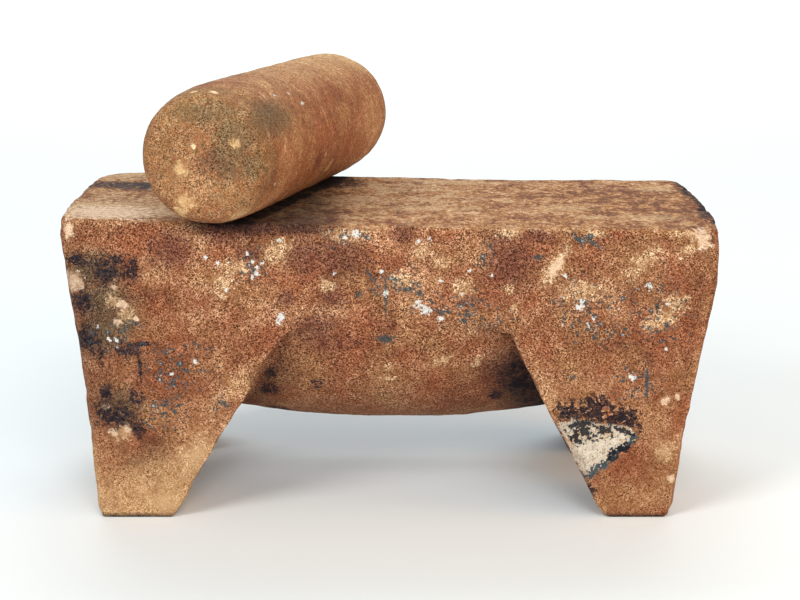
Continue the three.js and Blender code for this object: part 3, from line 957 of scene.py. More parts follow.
class StoneNodes:
    """The nodes of one stone material. A source is a socket, which is linked, or a plain value."""

    def __init__(self, name):
        self.material = bpy.data.materials.new(name)
        self.material.use_nodes = True
        self.tree = self.material.node_tree
        self.shader = self.tree.nodes["Principled BSDF"]
        self.place = self.tree.nodes.new("ShaderNodeTexCoord").outputs["Object"]

    def feed(self, socket, source):
        if isinstance(source, bpy.types.NodeSocket):
            self.tree.links.new(source, socket)
        else:
            socket.default_value = source

    def layer(self, name):
        """A float attribute of the mesh."""
        node = self.tree.nodes.new("ShaderNodeAttribute")
        node.attribute_name = name
        return node.outputs["Fac"]

    def math(self, operation, first, second=0.0, third=0.0):
        node = self.tree.nodes.new("ShaderNodeMath")
        node.operation = operation
        for socket, source in zip(node.inputs, (first, second, third)):
            self.feed(socket, source)
        return node.outputs[0]

    def stretched(self, scale, turn=0.0):
        """Object coordinates, turned back about Z and then stretched along the axes."""
        turned = self.tree.nodes.new("ShaderNodeMapping")
        turned.inputs["Rotation"].default_value = (0.0, 0.0, -turn)
        self.feed(turned.inputs["Vector"], self.place)
        node = self.tree.nodes.new("ShaderNodeMapping")
        node.inputs["Scale"].default_value = scale
        self.feed(node.inputs["Vector"], turned.outputs["Vector"])
        return node.outputs["Vector"]

    def shifted(self, shift):
        """Object coordinates, moved, so that one noise differs from another."""
        node = self.tree.nodes.new("ShaderNodeMapping")
        node.inputs["Location"].default_value = shift
        self.feed(node.inputs["Vector"], self.place)
        return node.outputs["Vector"]

    def noise(self, scale, detail=3.0, roughness=0.55, distortion=0.0, place=None):
        node = self.tree.nodes.new("ShaderNodeTexNoise")
        self.feed(node.inputs["Vector"], place or self.place)
        node.inputs["Scale"].default_value = scale
        node.inputs["Detail"].default_value = detail
        node.inputs["Roughness"].default_value = roughness
        node.inputs["Distortion"].default_value = distortion
        return node.outputs["Fac"]

    def cells(self, scale):
        """Distance to the middle of the nearest cell, and that cell's random value."""
        node = self.tree.nodes.new("ShaderNodeTexVoronoi")
        self.feed(node.inputs["Vector"], self.place)
        node.inputs["Scale"].default_value = scale
        split = self.tree.nodes.new("ShaderNodeSeparateColor")
        self.feed(split.inputs["Color"], node.outputs["Color"])
        return node.outputs["Distance"], split.outputs["Red"]

    def step(self, value, low, high):
        """0 below low, 1 above high, smooth between."""
        node = self.tree.nodes.new("ShaderNodeMapRange")
        node.interpolation_type = "SMOOTHSTEP"
        self.feed(node.inputs["Value"], value)
        node.inputs["From Min"].default_value = low
        node.inputs["From Max"].default_value = high
        return node.outputs["Result"]

    def mix(self, share, first, second):
        """From the first colour to the second by a share."""
        node = self.tree.nodes.new("ShaderNodeMix")
        node.data_type = "RGBA"
        self.feed(node.inputs["Factor"], share)
        self.feed(node.inputs["A"], first)
        self.feed(node.inputs["B"], second)
        return node.outputs["Result"]

    def vector_math(self, operation, *sources):
        node = self.tree.nodes.new("ShaderNodeVectorMath")
        node.operation = operation
        for socket, source in zip(node.inputs, sources):
            self.feed(socket, source)
        return node.outputs["Vector"]

    def grained(self, shade, grit):
        """A colour that grit lightens to grey above 0, and darkens to red below, down to a floor."""
        gain = self.vector_math("MULTIPLY_ADD", grit, GRIT_TINT, (1.0, 1.0, 1.0))
        gain = self.vector_math("MAXIMUM", gain, GRIT_FLOOR)
        return self.vector_math("MULTIPLY", shade, gain)

    def times(self, first, *others):
        """The product of all the sources."""
        for other in others:
            first = self.math("MULTIPLY", first, other)
        return first

    def plus(self, first, *others):
        """The sum of all the sources."""
        for other in others:
            first = self.math("ADD", first, other)
        return first

    def painted(self, shade, share, paint):
        """A colour under a share of a paint."""
        return self.mix(share, shade, opaque(paint))

    def swing(self, noise, weight):
        """A noise about 0, times a weight."""
        return self.math("MULTIPLY_ADD", noise, weight, -weight / 2)

    def torn(self, layer, noise, spread, softness):
        """A stain with a torn edge: its layer, shaken by noise where it isn't 0, and cut at a half."""
        value = self.layer(layer)
        shake = self.times(self.swing(noise, spread), self.step(value, 0.0, 0.35))
        return self.step(self.plus(value, shake), 0.5 - softness, 0.5 + softness)

    def stained(self, shade, layer, noise, spread, softness, share, stain):
        """A colour under a torn stain of another."""
        return self.painted(shade, self.times(self.torn(layer, noise, spread, softness), share), stain)

    def ramp(self, value, stops):
        """A value read through colours at given places."""
        node = self.tree.nodes.new("ShaderNodeValToRGB")
        elements = node.color_ramp.elements
        for element, (place, shade) in zip((elements[0], elements[1]), (stops[0], stops[-1])):
            element.position = place
            element.color = opaque(shade)
        for place, shade in stops[1:-1]:
            elements.new(place).color = opaque(shade)
        self.feed(node.inputs["Fac"], value)
        return node.outputs["Color"]


class StoneNoises:
    """The noises, and the pits and specks from random cells, that the parts of one stone material share."""

    def __init__(self, nodes):
        self.clouds = nodes.noise(21.0, 3.0, 0.6)
        self.drifts = nodes.noise(34.0, 2.0, 0.5, 0.0, nodes.shifted((3.1, 5.7, 2.3)))
        self.mottle = nodes.noise(100.0, 3.0, 0.62, 0.4)
        self.curls = nodes.noise(240.0, 2.0, 0.6, 0.8)
        self.crumbs = nodes.noise(280.0, 3.0, 0.65)
        self.rubbed = nodes.noise(330.0, 2.0, 0.70, 0.0, nodes.stretched((0.9, 0.5, 1.0)))
        self.flakes = nodes.noise(400.0, 2.0, 0.6, 0.5)
        self.grains = nodes.noise(640.0, 2.0, 0.7)
        self.dots = nodes.noise(1250.0, 1.0, 0.6)
        self.lumps = nodes.plus(nodes.times(self.curls, 0.5), nodes.times(self.flakes, 0.5))
        self.sand = nodes.cells(1500.0)[1]
        self.fleck_distance, self.fleck_pick = nodes.cells(220.0)
        distance, pick = nodes.cells(330.0)
        self.pit = nodes.times(nodes.step(distance, 0.40, 0.14), nodes.step(pick, 0.86, 0.90))
        distance, pick = nodes.cells(620.0)
        self.speck = nodes.times(nodes.step(distance, 0.50, 0.25), nodes.step(pick, 0.62, 0.70))
        self.spark = nodes.times(nodes.step(distance, 0.45, 0.25), nodes.step(pick, 0.045, 0.03))


def sound_stone(nodes, noises, shades):
    """Colour of the sound stone.

    A tone of clouds, mottle and crumbs, lifted by a layer, is read through a ramp. Ochre and brick drift over
    it.
    """
    tone = nodes.plus(
        0.5,
        nodes.swing(noises.clouds, 0.60),
        nodes.swing(noises.mottle, 0.48),
        nodes.swing(noises.crumbs, 0.10),
        nodes.times(nodes.layer("tone"), 0.22),
    )
    shade = nodes.ramp(tone, ((0.22, shades.dark), (0.50, shades.middle), (0.80, shades.light)))
    shade = nodes.painted(shade, nodes.times(nodes.step(noises.drifts, 0.45, 0.68), 0.55), shades.ochre)
    return nodes.painted(shade, nodes.times(nodes.step(noises.drifts, 0.50, 0.34), 0.45), shades.brick)


def worn_stone(nodes, noises, shades):
    """Colour of the worn top: rubbed streaks, read through a ramp from dark to dust, with plum drifts."""
    rubbing = nodes.plus(
        nodes.noise(95.0, 5.0, 0.68, 0.4, nodes.stretched((0.8, 0.7, 1.0))),
        nodes.swing(noises.clouds, 0.25),
        nodes.swing(noises.rubbed, 0.65),
        nodes.times(nodes.layer("tone"), 0.10),
    )
    shade = nodes.ramp(rubbing, ((0.37, shades.worn_dark), (0.50, shades.worn), (0.64, shades.dust)))
    return nodes.painted(shade, nodes.times(nodes.step(noises.drifts, 0.46, 0.32), 0.26), shades.plum)


def burnt(nodes, noises, shades, shade):
    """A colour under soot and burnt crust.

    Soot has a plum halo, the crust has light gaps, both are torn by lumps, and a web of black curls runs over
    them: thin bands round the middle value of a noise.
    """
    soot, crust = nodes.layer("soot"), nodes.layer("crust")
    shade = nodes.painted(shade, nodes.times(nodes.step(soot, 0.02, 0.60), 0.38), shades.plum)
    shade = nodes.stained(shade, "soot", noises.lumps, 5.6, 0.22, 0.70, shades.char)
    gaps = nodes.times(nodes.step(crust, 0.15, 0.5), nodes.step(noises.crumbs, 0.42, 0.60), 0.6)
    shade = nodes.painted(shade, gaps, shades.light)
    shade = nodes.stained(shade, "crust", noises.lumps, 4.6, 0.20, 0.86, shades.crust)
    either = nodes.math("MAXIMUM", soot, crust)
    web = nodes.step(nodes.math("ABSOLUTE", nodes.swing(noises.curls, 1.0)), 0.085, 0.04)
    torn = nodes.step(nodes.plus(either, nodes.swing(noises.crumbs, 1.2)), 0.30, 0.50)
    web = nodes.times(web, torn, nodes.step(either, 0.05, 0.25), 0.85)
    return nodes.painted(shade, web, shades.char)


def grit_strength(nodes, noises):
    """How much grit shows: in patches, more where coarse, and less where worn, pale, dusty or creamy."""
    smoothed = nodes.math("MAXIMUM", nodes.layer("worn"), nodes.layer("pale"))
    strength = nodes.math("MULTIPLY_ADD", smoothed, -0.20, 0.78)
    strength = nodes.math("MULTIPLY_ADD", nodes.layer("coarse"), 0.60, strength)
    patchy = nodes.plus(nodes.times(noises.mottle, 0.5), nodes.times(noises.crumbs, 0.5))
    patchy = nodes.math("MULTIPLY_ADD", nodes.step(patchy, 0.36, 0.64), 0.9, 0.55)
    strength = nodes.math("MULTIPLY_ADD", nodes.layer("dust"), -0.50, nodes.times(strength, patchy))
    creamy = nodes.math("MULTIPLY_ADD", nodes.step(nodes.layer("cream"), 0.25, 0.55), -0.75, 1.0)
    return nodes.times(nodes.math("MAXIMUM", strength, 0.1), creamy)


def stone_grit(nodes, noises, turn, scratches):
    """Grit about 0: fine grains, dark specks and pits and bright sparks.

    Worn stone adds rubbed grains, and light strokes that are long across the turned Y axis.
    """
    worn = nodes.layer("worn")
    strokes = nodes.noise(1.0, 0.0, 0.5, 0.0, nodes.stretched((48.0, 620.0, 48.0), turn))
    streaky = nodes.step(noises.mottle, 0.42, 0.58)
    fine = nodes.plus(
        nodes.swing(noises.grains, 0.25),
        nodes.swing(noises.dots, 2.7),
        nodes.swing(noises.sand, 1.9),
        nodes.times(noises.speck, -0.14),
        nodes.times(noises.pit, -0.35),
        nodes.times(noises.spark, 0.8),
        nodes.times(nodes.step(strokes, 0.66, 0.76), streaky, worn, scratches),
    )
    rubbed = nodes.plus(
        nodes.swing(noises.crumbs, 0.9),
        nodes.swing(noises.grains, 1.8),
        nodes.swing(noises.rubbed, 0.8),
    )
    return nodes.math("MULTIPLY_ADD", fine, grit_strength(nodes, noises), nodes.times(rubbed, worn))


def bare_patch(nodes, noises, shades):
    """Colour of the inner stone where a flake is lost: pale, with a slate band and black stains."""
    bare = nodes.painted(opaque(shades.bare), nodes.step(noises.mottle, 0.50, 0.70), shades.dust)
    bare = nodes.grained(bare, nodes.plus(nodes.swing(noises.flakes, 0.9), nodes.swing(noises.dots, 1.2)))
    bare = nodes.painted(bare, nodes.times(noises.speck, 0.55), shades.char)
    band_grit = nodes.plus(nodes.swing(noises.dots, 3.0), nodes.swing(noises.flakes, 3.0))
    band = nodes.grained(tuple(shades.slate), band_grit)
    band = nodes.painted(band, nodes.times(nodes.step(noises.crumbs, 0.50, 0.62), 0.42), shades.light)
    bare = nodes.mix(nodes.torn("scar_rim", noises.flakes, 3.4, 0.16), bare, band)
    return nodes.stained(bare, "scar_soot", noises.lumps, 4.4, 0.14, 0.95, shades.char)


def flecked(nodes, noises, shades, shade):
    """A colour under slate and lime.

    Slate veins are thin bands round the middle value of a noise, kept where their layer is strong. Ragged
    flecks lie near them, each in a random cell: some are slate with a lime core, and a few are all lime.
    """
    layer = nodes.layer("veins")
    vein = nodes.math("ABSOLUTE", nodes.swing(nodes.noise(115.0, 2.0, 0.5, 0.6), 1.0))
    vein = nodes.times(nodes.step(vein, 0.045, 0.022), nodes.torn("veins", noises.flakes, 4.0, 0.14))
    near = nodes.step(nodes.plus(layer, nodes.swing(noises.mottle, 1.0)), 0.34, 0.46)
    near = nodes.times(near, nodes.step(layer, 0.02, 0.12))
    ragged = nodes.plus(noises.fleck_distance, nodes.swing(noises.grains, 0.9))
    spot = nodes.times(nodes.step(ragged, 0.48, 0.32), near)
    slaty = nodes.step(noises.fleck_pick, 0.64, 0.68)
    slate = nodes.math("MAXIMUM", vein, nodes.times(spot, slaty))
    slate = nodes.math("MAXIMUM", slate, nodes.torn("slate", noises.grains, 1.8, 0.14))
    slate_shade = nodes.grained(tuple(shades.slate), nodes.swing(noises.dots, 3.4))
    shade = nodes.mix(nodes.times(slate, 0.90), shade, slate_shade)
    core = nodes.times(nodes.step(ragged, 0.20, 0.06), slaty, near, 0.5)
    shade = nodes.painted(shade, core, shades.lime)
    white = nodes.times(spot, nodes.step(noises.fleck_pick, 0.045, 0.03))
    lime = nodes.math("MAXIMUM", white, nodes.torn("lime", noises.grains, 2.6, 0.16))
    return nodes.painted(shade, nodes.times(lime, 0.92), shades.lime)


def add_surface(nodes, noises):
    """Roughness, a little less where worn, and a fine bump of mottle, crumbs, grains and pits."""
    roughness = nodes.math("MULTIPLY_ADD", nodes.layer("worn"), -0.14, 0.95)
    nodes.feed(nodes.shader.inputs["Roughness"], nodes.plus(roughness, nodes.swing(noises.mottle, 0.12)))
    nodes.shader.inputs["Specular IOR Level"].default_value = 0.25
    bump = nodes.tree.nodes.new("ShaderNodeBump")
    bump.inputs["Strength"].default_value = 0.8
    bump.inputs["Distance"].default_value = 0.0013
    nodes.feed(bump.inputs["Height"], nodes.plus(
        nodes.times(noises.mottle, 0.8),
        nodes.times(noises.crumbs, 0.6),
        nodes.times(noises.grains, 0.6),
        nodes.times(noises.pit, -0.5),
    ))
    nodes.feed(nodes.shader.inputs["Normal"], bump.outputs["Normal"])


def stone_material(name, shades, tint=(1.0, 1.0, 1.0), turn=0.0, scratches=0.0):
    """Weathered volcanic stone.

    Sound or worn stone comes first, then the bleached foot, soft stains, soot and crust. Grit darkens or
    lightens it all, and a tint multiplies it. Painted shade and shadow with some grime, the bare patch, and
    slate and lime flecks lie on top.
    """
    nodes = StoneNodes(name)
    noises = StoneNoises(nodes)
    sound, worn = sound_stone(nodes, noises, shades), worn_stone(nodes, noises, shades)
    shade = nodes.mix(nodes.times(nodes.layer("top"), 0.90), sound, worn)
    pale = nodes.times(nodes.layer("pale"), nodes.step(noises.mottle, 0.18, 0.48), 0.88)
    shade = nodes.painted(shade, pale, shades.pale)
    for layer, spread, softness, share in SOFT_STAINS:
        shade = nodes.stained(shade, layer, noises.crumbs, spread, softness, share, getattr(shades, layer))
    shade = burnt(nodes, noises, shades, shade)
    shade = nodes.grained(shade, stone_grit(nodes, noises, turn, scratches))
    shade = nodes.vector_math("MULTIPLY", shade, tint)
    # Painted shade and shadow, with some grime: the darkening layer, made uneven, in the soot colour.
    uneven = nodes.plus(1.0, nodes.swing(noises.crumbs, 1.0), nodes.swing(noises.mottle, 1.2))
    shade = nodes.painted(shade, nodes.times(nodes.layer("painted_shade_and_grime"), uneven), shades.soot)
    scar = nodes.torn("scar", noises.lumps, 2.4, 0.10)
    shade = nodes.mix(scar, shade, bare_patch(nodes, noises, shades))
    nodes.feed(nodes.shader.inputs["Base Color"], flecked(nodes, noises, shades, shade))
    add_surface(nodes, noises)
    return nodes.material


def painted_contact_shadow(x, y, z):
    """Painted shadow of the hand stone, with some soot, on the top at the right of its contact line.

    A strip runs along the line, and a weaker patch lies beside its front part.
    """
    # Painted shadow: a strip along the contact line and a weaker patch beside its front part.
    offset = x - CONTACT_X - CONTACT_SLOPE * y
    past_line = smooth_step(*LINE_START, offset)
    strip = smooth_step(STRIP_WIDTH, STRIP_FULL * STRIP_WIDTH, offset) * past_line
    patch = PATCH_SHARE * smooth_step(*PATCH_X, x) * past_line * smooth_step(*PATCH_Y, y)
    return strongest(strip, patch) * smooth_step(*STRIP_TOP, z) * smooth_step(*STRIP_RIM, np.abs(y))


def painted_shade_and_grime_layer(slab, points):
    """Darkening, the strongest of four: painted shade and shadows, and a dark left front edge.

    The belly is dark low down and where it dives behind the legs, each side by its own distance below the
    line of the legs' inner faces: painted shade in the recesses. The left front edge is dark, the top along
    the hand stone carries its painted shadow with some soot, and a thin line round the soles is a painted
    contact shadow.
    """
    x, y, z = points.T
    at_left = x < 0
    gap = side_leg_height(slab, x) - z
    behind = smooth_step(*BEHIND_FACE, slab.half_depth - np.abs(y)) * (1 - smooth_step(*BELLY_TOP, z))
    behind *= np.where(at_left, smooth_step(*LEFT_LEG_GATE, gap), smooth_step(*RIGHT_LEG_GATE, gap))
    left, right = LEFT_RECESS_SHADE * smooth_step(*LEFT_LEG_GAP, gap), RIGHT_RECESS_SHADE * smooth_step(*RIGHT_LEG_GAP, gap)
    # Painted shade: the belly darkens in the recesses beside the legs and low down.
    beside = np.maximum(np.where(at_left, left, right), LOW_BELLY_SHADE * smooth_step(*LOW_BELLY, z))
    edge = smooth_step(*LEFT_EDGE, x) * smooth_step(*LEFT_EDGE_FOOT, z) * smooth_step(*LEFT_EDGE_TOP, z)
    on_front = 1 - smooth_step(0.0, FRONT_DEPTH, y + slab.half_depth)
    # Painted shadow: a thin dark contact line round the soles.
    sole_shadow = SOLE_SHADOW * smooth_step(*SOLE_LINE, z)
    return strongest(behind * beside, GRIME_EDGE * edge * on_front, painted_contact_shadow(x, y, z), sole_shadow)


def slab_stains(slab, points, normals, up):
    """Layers of stains: placed ones on the front, the belly and the top, and scattered ones elsewhere."""
    front = -slab.half_depth
    layers = {name: front_marks(points, marks, front) for name, marks in FRONT_STAINS.items()}
    layers["soot"] = strongest(SOOT_SHARE * layers["soot"], space_marks(points, TOP_SOOT_SPOTS))
    for name, marks in BELLY_STAINS.items():
        layers[name] = strongest(layers[name], front_marks(points, marks, front, BELLY_WRAP))
    for name, spots in TOP_STAINS.items():
        layers[name] = strongest(layers[name], up * space_marks(points, spots))
    hidden = points[(points[:, 1] > front + HIDDEN_DEPTH) & (normals[:, 2] < HIDDEN_FACING)]
    for name, scatter in HIDDEN_STAINS.items():
        layers[name] = strongest(layers[name], space_marks(points, scattered_spots(hidden, scatter)))
    layers["veins"] = VEIN_SHARE * layers["veins"]
    return layers


def slab_tones(slab, points):
    """Layers of lightness: the tone of the sound stone, and how bleached it is at the left feet and legs.

    The tone holds painted shade at the right and painted highlights on worn edges and the top's back edge.
    """
    x, z = points[:, 0], points[:, 2]
    front = -slab.half_depth
    darker = front_marks(points, DARK_MARKS, front, BELLY_WRAP)
    # Some lighter marks are painted highlights on the legs' inner edges and the top's back edge.
    lift = front_marks(points, LIGHTER_AND_HIGHLIGHT_MARKS, front, BELLY_WRAP) - darker
    lift += space_marks(points, TOP_LIGHTER_AND_HIGHLIGHT_SPOTS) - space_marks(points, TOP_DARK_SPOTS)
    clouds = TONE_SHARE * smooth_noise(points, TONE_CLOUD, TONE_SEED)
    # Painted shade: the right part above the belly's spring is darker.
    right_painted_shade = SHADED_SHARE * smooth_step(*SHADED_RIGHT, x) * smooth_step(*SHADED_HEIGHT, z)
    feet = 1 - smooth_step(*PALE_FOOT, z + PALE_RAGGED * smooth_noise(points, PALE_LUMP))
    bleached = np.clip(feet - PALE_DARKENED * darker, 0, 1) * smooth_step(*PALE_LEFT, x)
    return {
        # Worn edges are lighter: partly wear, partly a painted highlight where the rounded edges catch the
        # light.
        "tone": clouds + EDGE_WEAR_AND_HIGHLIGHT * edge_wear_and_highlight(points, NICKED_EDGES) - right_painted_shade + lift,
        "pale": strongest(bleached, PALE_SHARE * front_marks(points, PALE_AND_HIGHLIGHT_MARKS, front)),
    }


def slab_layers(slab, points, normals):
    """All stain and wear layers of the slab, with its painted shade, shadows and highlights."""
    x, y, z = points.T
    rim = np.minimum(slab.half_length - np.abs(x), slab.half_depth - np.abs(y))
    up = smooth_step(*FACING_UP, normals[:, 2]) * smooth_step(*NEAR_TOP, z)
    worn = up * smooth_step(*WORN_RIM, rim)
    coarse = smooth_step(*COARSE_HEIGHT, z - COARSE_LEG_DROP * smooth_step(*COARSE_LEGS, np.abs(x)))
    on_front = 1 - smooth_step(0.0, MARK_WRAP, y + slab.half_depth)
    inside = polygon_inside(x, z, SCAR_CORNERS)
    along_rim = smooth_step(SCAR_BAND, 0.0, polygon_inside(x, z, SCAR_CORNERS, SCAR_RIM_SIDES))
    return {
        "worn": worn,
        "top": worn,
        "coarse": coarse * (1 - worn),
        **slab_tones(slab, points),
        **slab_stains(slab, points, normals, up),
        "scar": (0.5 + inside / (2 * SCAR_EDGE)).clip(0, 1) * on_front,
        "scar_rim": along_rim * smooth_step(0.0, SCAR_RIM_RISE, z - SCAR_RIM_FOOT),
        "painted_shade_and_grime": painted_shade_and_grime_layer(slab, points),
    }


class GRINDING_OT_slab(bpy.types.Operator):
    """Carves the grinding slab: its plain form, its lumps, its chips and its stains"""

    bl_idname = "grinding.slab"
    bl_label = "Grinding slab"
    bl_options = {"REGISTER", "UNDO"}

    def execute(self, context):
        slab = context.scene.grinding_slab
        form, quads = slab_form(slab)
        normals = point_normals(form, quads)
        layers = slab_layers(slab, form, normals)
        above_floor = smooth_step(0.0, FLAT_SOLE, form[:, 2])
        lumps = unevenness(form, SLAB_UNEVENNESS) * (1 - (1 - WORN_SHARE) * layers["worn"])
        lost = chip_depth(form, [*CHIPS, *nicks_along(NICKED_EDGES, CHIP_SEED)])
        lost += SCAR_DEPTH * smooth_step(*SCAR_HOLLOW, layers["scar"])
        points = form + normals * ((lumps - lost) * above_floor)[:, None]
        points[:, 2] = np.maximum(points[:, 2], 0)
        shift = fit_to_node(form, "grinding_slab")
        shift[2] = 0
        material = stone_material("slab stone", context.scene.grinding_colours)
        piece = mesh_piece("slab", points + shift, quads, layers, material)
        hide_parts("grinding_slab")
        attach(piece, ONLY_BODY)
        return {"FINISHED"}


def hand_form(stone):
    """The hand stone's plain form, with its axis on Y.

    With t from -1 to 1 along the axis, the radius is the body's, times 1 - |t| to the fullness, to a power
    that rounds the edge, less a taper by a power of t towards the front end.
    Rings lie at equal arcs of that outline, and the two poles are single points.
    """
    t = np.sin(np.linspace(-math.pi / 2, math.pi / 2, 20001))
    fullness = np.where(t < 0, stone.front_fullness, stone.back_fullness)
    radius = stone.radius * np.clip(1 - np.abs(t) ** fullness, 0, 1) ** (1 / stone.edge_power)
    radius *= 1 - stone.taper * np.maximum(-t, 0) ** stone.taper_power
    along = t * stone.stone_length / 2
    arc = np.concatenate([[0.0], np.cumsum(np.hypot(np.diff(along), np.diff(radius)))])
    stops = np.linspace(0, arc[-1], stone.rings + 1)[1:-1]
    ring_radius, ring_along = np.interp(stops, arc, radius), np.interp(stops, arc, along)
    angle = np.linspace(0, 2 * math.pi, stone.sides, endpoint=False)
    rings = np.stack([
        ring_radius[:, None] * np.cos(angle),
        np.broadcast_to(ring_along[:, None], (len(stops), stone.sides)),
        ring_radius[:, None] * np.sin(angle),
    ], axis=-1).reshape(-1, 3)
    poles = np.array([[0, along[0], 0], [0, along[-1], 0]])
    return np.concatenate([rings, poles])


def hand_faces(stone):
    """Quads between neighbouring rings, and fans of triangles at the two poles, facing outwards."""
    rings = stone.rings - 1
    corner = np.arange(rings * stone.sides).reshape(rings, stone.sides)
    beside = np.roll(corner, -1, axis=1)
    quads = np.stack([corner[:-1], corner[1:], beside[1:], beside[:-1]], axis=-1).reshape(-1, 4)
    front = np.full(stone.sides, rings * stone.sides)
    fans = np.concatenate([
        np.stack([front, corner[0], beside[0]], axis=1),
        np.stack([front + 1, beside[-1], corner[-1]], axis=1),
    ])
    return quads, fans


def hand_layers(points):
    """Stain and wear layers of the hand stone: placed stains where they show, scattered ones all round.

    Its top is lighter and paler, partly dust and partly a painted highlight.
    """
    y, z = points[:, 1], points[:, 2]
    ragged = HAND_RAGGED * smooth_noise(points, HAND_LUMP, SPECK_SEED)
    clouds = TONE_SHARE * smooth_noise(points, HAND_CLOUD, HAND_TONE_SEED)
    under = scattered_spots(points[z < 0], HAND_UNDERSIDE_PLUM)
    layers = dict.fromkeys(STONE_LAYERS, np.zeros(len(points)))
    layers["worn"] = smooth_step(*HAND_WORN_FRONT, y) * smooth_step(*HAND_WORN_HEIGHT, z + ragged)
    # Painted highlight, with some dust: the top is lighter and paler.
    dusty_highlit_top = HAND_TOP_DUST_AND_HIGHLIGHT * smooth_step(*HAND_TOP, z)
    layers["tone"] = clouds + dusty_highlit_top + space_marks(points, HAND_LIGHTER_AND_BOUNCE_SPOTS)
    layers["pale"] = HAND_PALE_DUST_AND_HIGHLIGHT * smooth_step(*HAND_PALE_TOP, z) * smooth_step(*HAND_PALE_BACK, y)
    layers["plum"] = space_marks(points, under)
    layers["moss"] = strongest(space_marks(points, HAND_MOSS_SPOTS), HAND_END_MOSS * (y < HAND_END))
    for name, (spots, scatter) in HAND_STAINS.items():
        layers[name] = space_marks(points, (*spots, *scattered_spots(points, scatter)))
    return layers


def turned(points, tilt, turn):
    """Points tilted about X, then turned about Z."""
    about_x = np.array([[1, 0, 0], [0, math.cos(tilt), -math.sin(tilt)], [0, math.sin(tilt), math.cos(tilt)]])
    about_z = np.array([[math.cos(turn), -math.sin(turn), 0], [math.sin(turn), math.cos(turn), 0], [0, 0, 1]])
    return points @ (about_z @ about_x).T


class GRINDING_OT_hand_stone(bpy.types.Operator):
    """Shapes the hand stone and lays it across the slab"""

    bl_idname = "grinding.hand_stone"
    bl_label = "Hand stone"
    bl_options = {"REGISTER", "UNDO"}

    def execute(self, context):
        stone = context.scene.grinding_hand_stone
        form = hand_form(stone)
        quads, fans = hand_faces(stone)
        fan_quads = np.concatenate([fans, fans[:, 2:]], axis=1)
        normals = point_normals(form, np.concatenate([quads, fan_quads]))
        layers = hand_layers(form)
        lumps = unevenness(form, HAND_UNEVENNESS)
        points = turned(form + normals * lumps[:, None], stone.tilt, stone.turn)
        shift = fit_to_node(turned(form, stone.tilt, stone.turn), "hand_stone")
        shades = context.scene.grinding_colours
        tint = tuple(2 * channel for channel in shades.hand_tint)
        material = stone_material("hand stone", shades, tint, stone.turn, HAND_SCRATCHES)
        faces = [*quads.tolist(), *fans.tolist()]
        piece = mesh_piece("hand_stone_worn", points + shift, faces, layers, material)
        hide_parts("hand_stone")
        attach(piece, ONLY_BODY)
        return {"FINISHED"}


def floor_material(shade):
    """Matt pale paper with a very faint cloudiness."""
    nodes = StoneNodes("floor paper")
    clouds = nodes.noise(3.0, 2.0, 0.5)
    darker = tuple(0.97 * channel for channel in shade)
    nodes.feed(nodes.shader.inputs["Base Color"], nodes.mix(clouds, opaque(darker), opaque(shade)))
    nodes.shader.inputs["Roughness"].default_value = 0.9
    nodes.shader.inputs["Specular IOR Level"].default_value = 0.2
    return nodes.material


class AreaLight(NamedTuple):
    """A soft light: its place, what it points at, its size, its power in watts and its colour."""

    name: str
    place: tuple
    target: tuple
    size: float
    power: float
    shade: tuple


AREA_LIGHTS = (
    AreaLight("key", (-1.8, -1.8, 1.5), (0.0, 0.0, 0.12), 1.2, 52.0, (0.97, 0.965, 0.93)),
    AreaLight("front", (0.5, -2.5, 1.8), (0.0, 0.0, 0.12), 1.2, 38.0, (0.87, 0.96, 1.0)),
    AreaLight("right", (1.8, -1.8, 1.5), (0.0, 0.0, 0.12), 1.2, 15.0, (1.0, 0.96, 0.90)),
    AreaLight("back", (0.0, 1.6, 2.2), (0.0, 0.0, 0.1), 1.6, 8.0, (0.50, 0.86, 1.0)),
    AreaLight("warm side", (1.5, -0.3, 0.8), (0.6, 0.0, 0.0), 0.8, 8.0, (1.0, 0.62, 0.25)),
    AreaLight("background", (0.0, 4.5, 3.5), (0.0, 4.5, 0.0), 5.0, 250.0, (0.95, 0.98, 1.0)),
)


def add_area_light(light):
    """A square area light turned towards its target."""
    data = bpy.data.lights.new(light.name, "AREA")
    data.energy = light.power
    data.size = light.size
    data.color = light.shade
    lamp = bpy.data.objects.new(light.name, data)
    bpy.context.collection.objects.link(lamp)
    lamp.location = light.place
    aim = lamp.location.copy()
    aim.x, aim.y, aim.z = (end - start for start, end in zip(light.place, light.target))
    lamp.rotation_euler = aim.to_track_quat("-Z", "Y").to_euler()


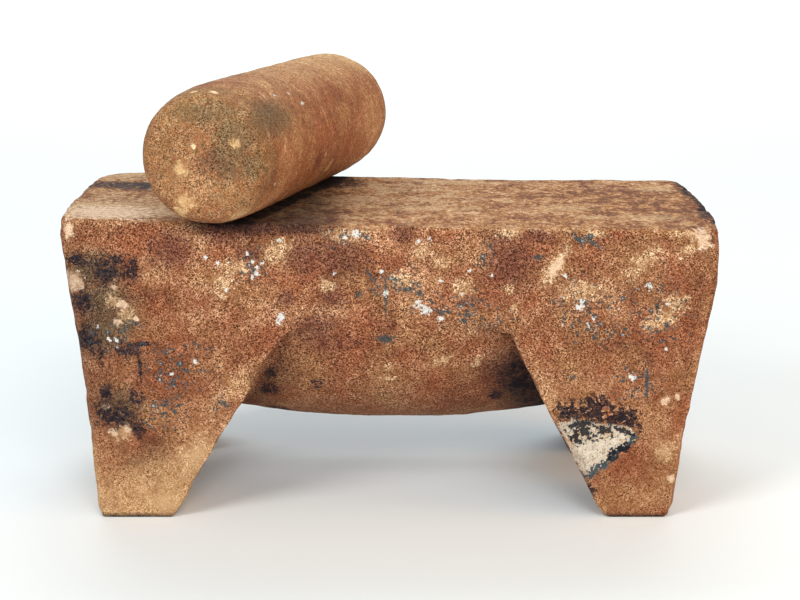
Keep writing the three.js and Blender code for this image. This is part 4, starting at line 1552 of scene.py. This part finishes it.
def add_camera(scene):
    """The camera at the photograph's viewpoint, level from side to side."""
    data = bpy.data.cameras.new("camera")
    data.lens = CAMERA_LENS
    data.sensor_width = SENSOR_WIDTH
    camera = bpy.data.objects.new("camera", data)
    bpy.context.collection.objects.link(camera)
    camera.location = CAMERA_PLACE
    camera.rotation_euler = (CAMERA_PITCH, 0, 0)
    scene.camera = camera


class GRINDING_OT_stage(bpy.types.Operator):
    """Lays a pale floor, sets soft studio light and places the camera"""

    bl_idname = "grinding.stage"
    bl_label = "Stage"
    bl_options = {"REGISTER", "UNDO"}

    def execute(self, context):
        stage = context.scene.grinding_stage
        half = stage.floor_half
        corners = np.array([[-half, -half, 0], [half, -half, 0], [half, half, 0], [-half, half, 0]])
        floor = mesh_piece("floor", corners, [[0, 1, 2, 3]], {}, floor_material(stage.floor))
        world = bpy.data.worlds.new("studio")
        world.use_nodes = True
        background = world.node_tree.nodes["Background"]
        background.inputs["Color"].default_value = opaque(stage.sky)
        background.inputs["Strength"].default_value = stage.sky_strength
        context.scene.world = world
        for light in AREA_LIGHTS:
            add_area_light(light)
        add_camera(context.scene)
        context.scene.view_settings.view_transform = "Standard"
        return {"FINISHED"}


class GRINDING_PT_stones(bpy.types.Panel):
    """Lists the operators that make the grinding stone"""

    bl_idname = "GRINDING_PT_stones"
    bl_label = "Grinding stone"
    bl_space_type = "VIEW_3D"
    bl_region_type = "UI"
    bl_category = "Grinding stone"

    def draw(self, context):
        for operator in OPERATORS:
            self.layout.operator(operator.bl_idname)


OPERATORS = (GRINDING_OT_slab, GRINDING_OT_hand_stone, GRINDING_OT_stage)
SETTINGS = {
    "grinding_slab": SlabSettings,
    "grinding_hand_stone": HandStoneSettings,
    "grinding_colours": StoneColours,
    "grinding_stage": StageSettings,
}


def register():
    for kind in (*SETTINGS.values(), *OPERATORS, GRINDING_PT_stones):
        bpy.utils.register_class(kind)
    for name, kind in SETTINGS.items():
        setattr(bpy.types.Scene, name, PointerProperty(type=kind))


def unregister():
    for name in SETTINGS:
        delattr(bpy.types.Scene, name)
    for kind in (GRINDING_PT_stones, *OPERATORS, *SETTINGS.values()):
        bpy.utils.unregister_class(kind)


def main():
    """Makes the stones and the stage."""
    register()
    bpy.ops.grinding.slab()
    bpy.ops.grinding.hand_stone()
    bpy.ops.grinding.stage()


if __name__ == "__main__":
    main()
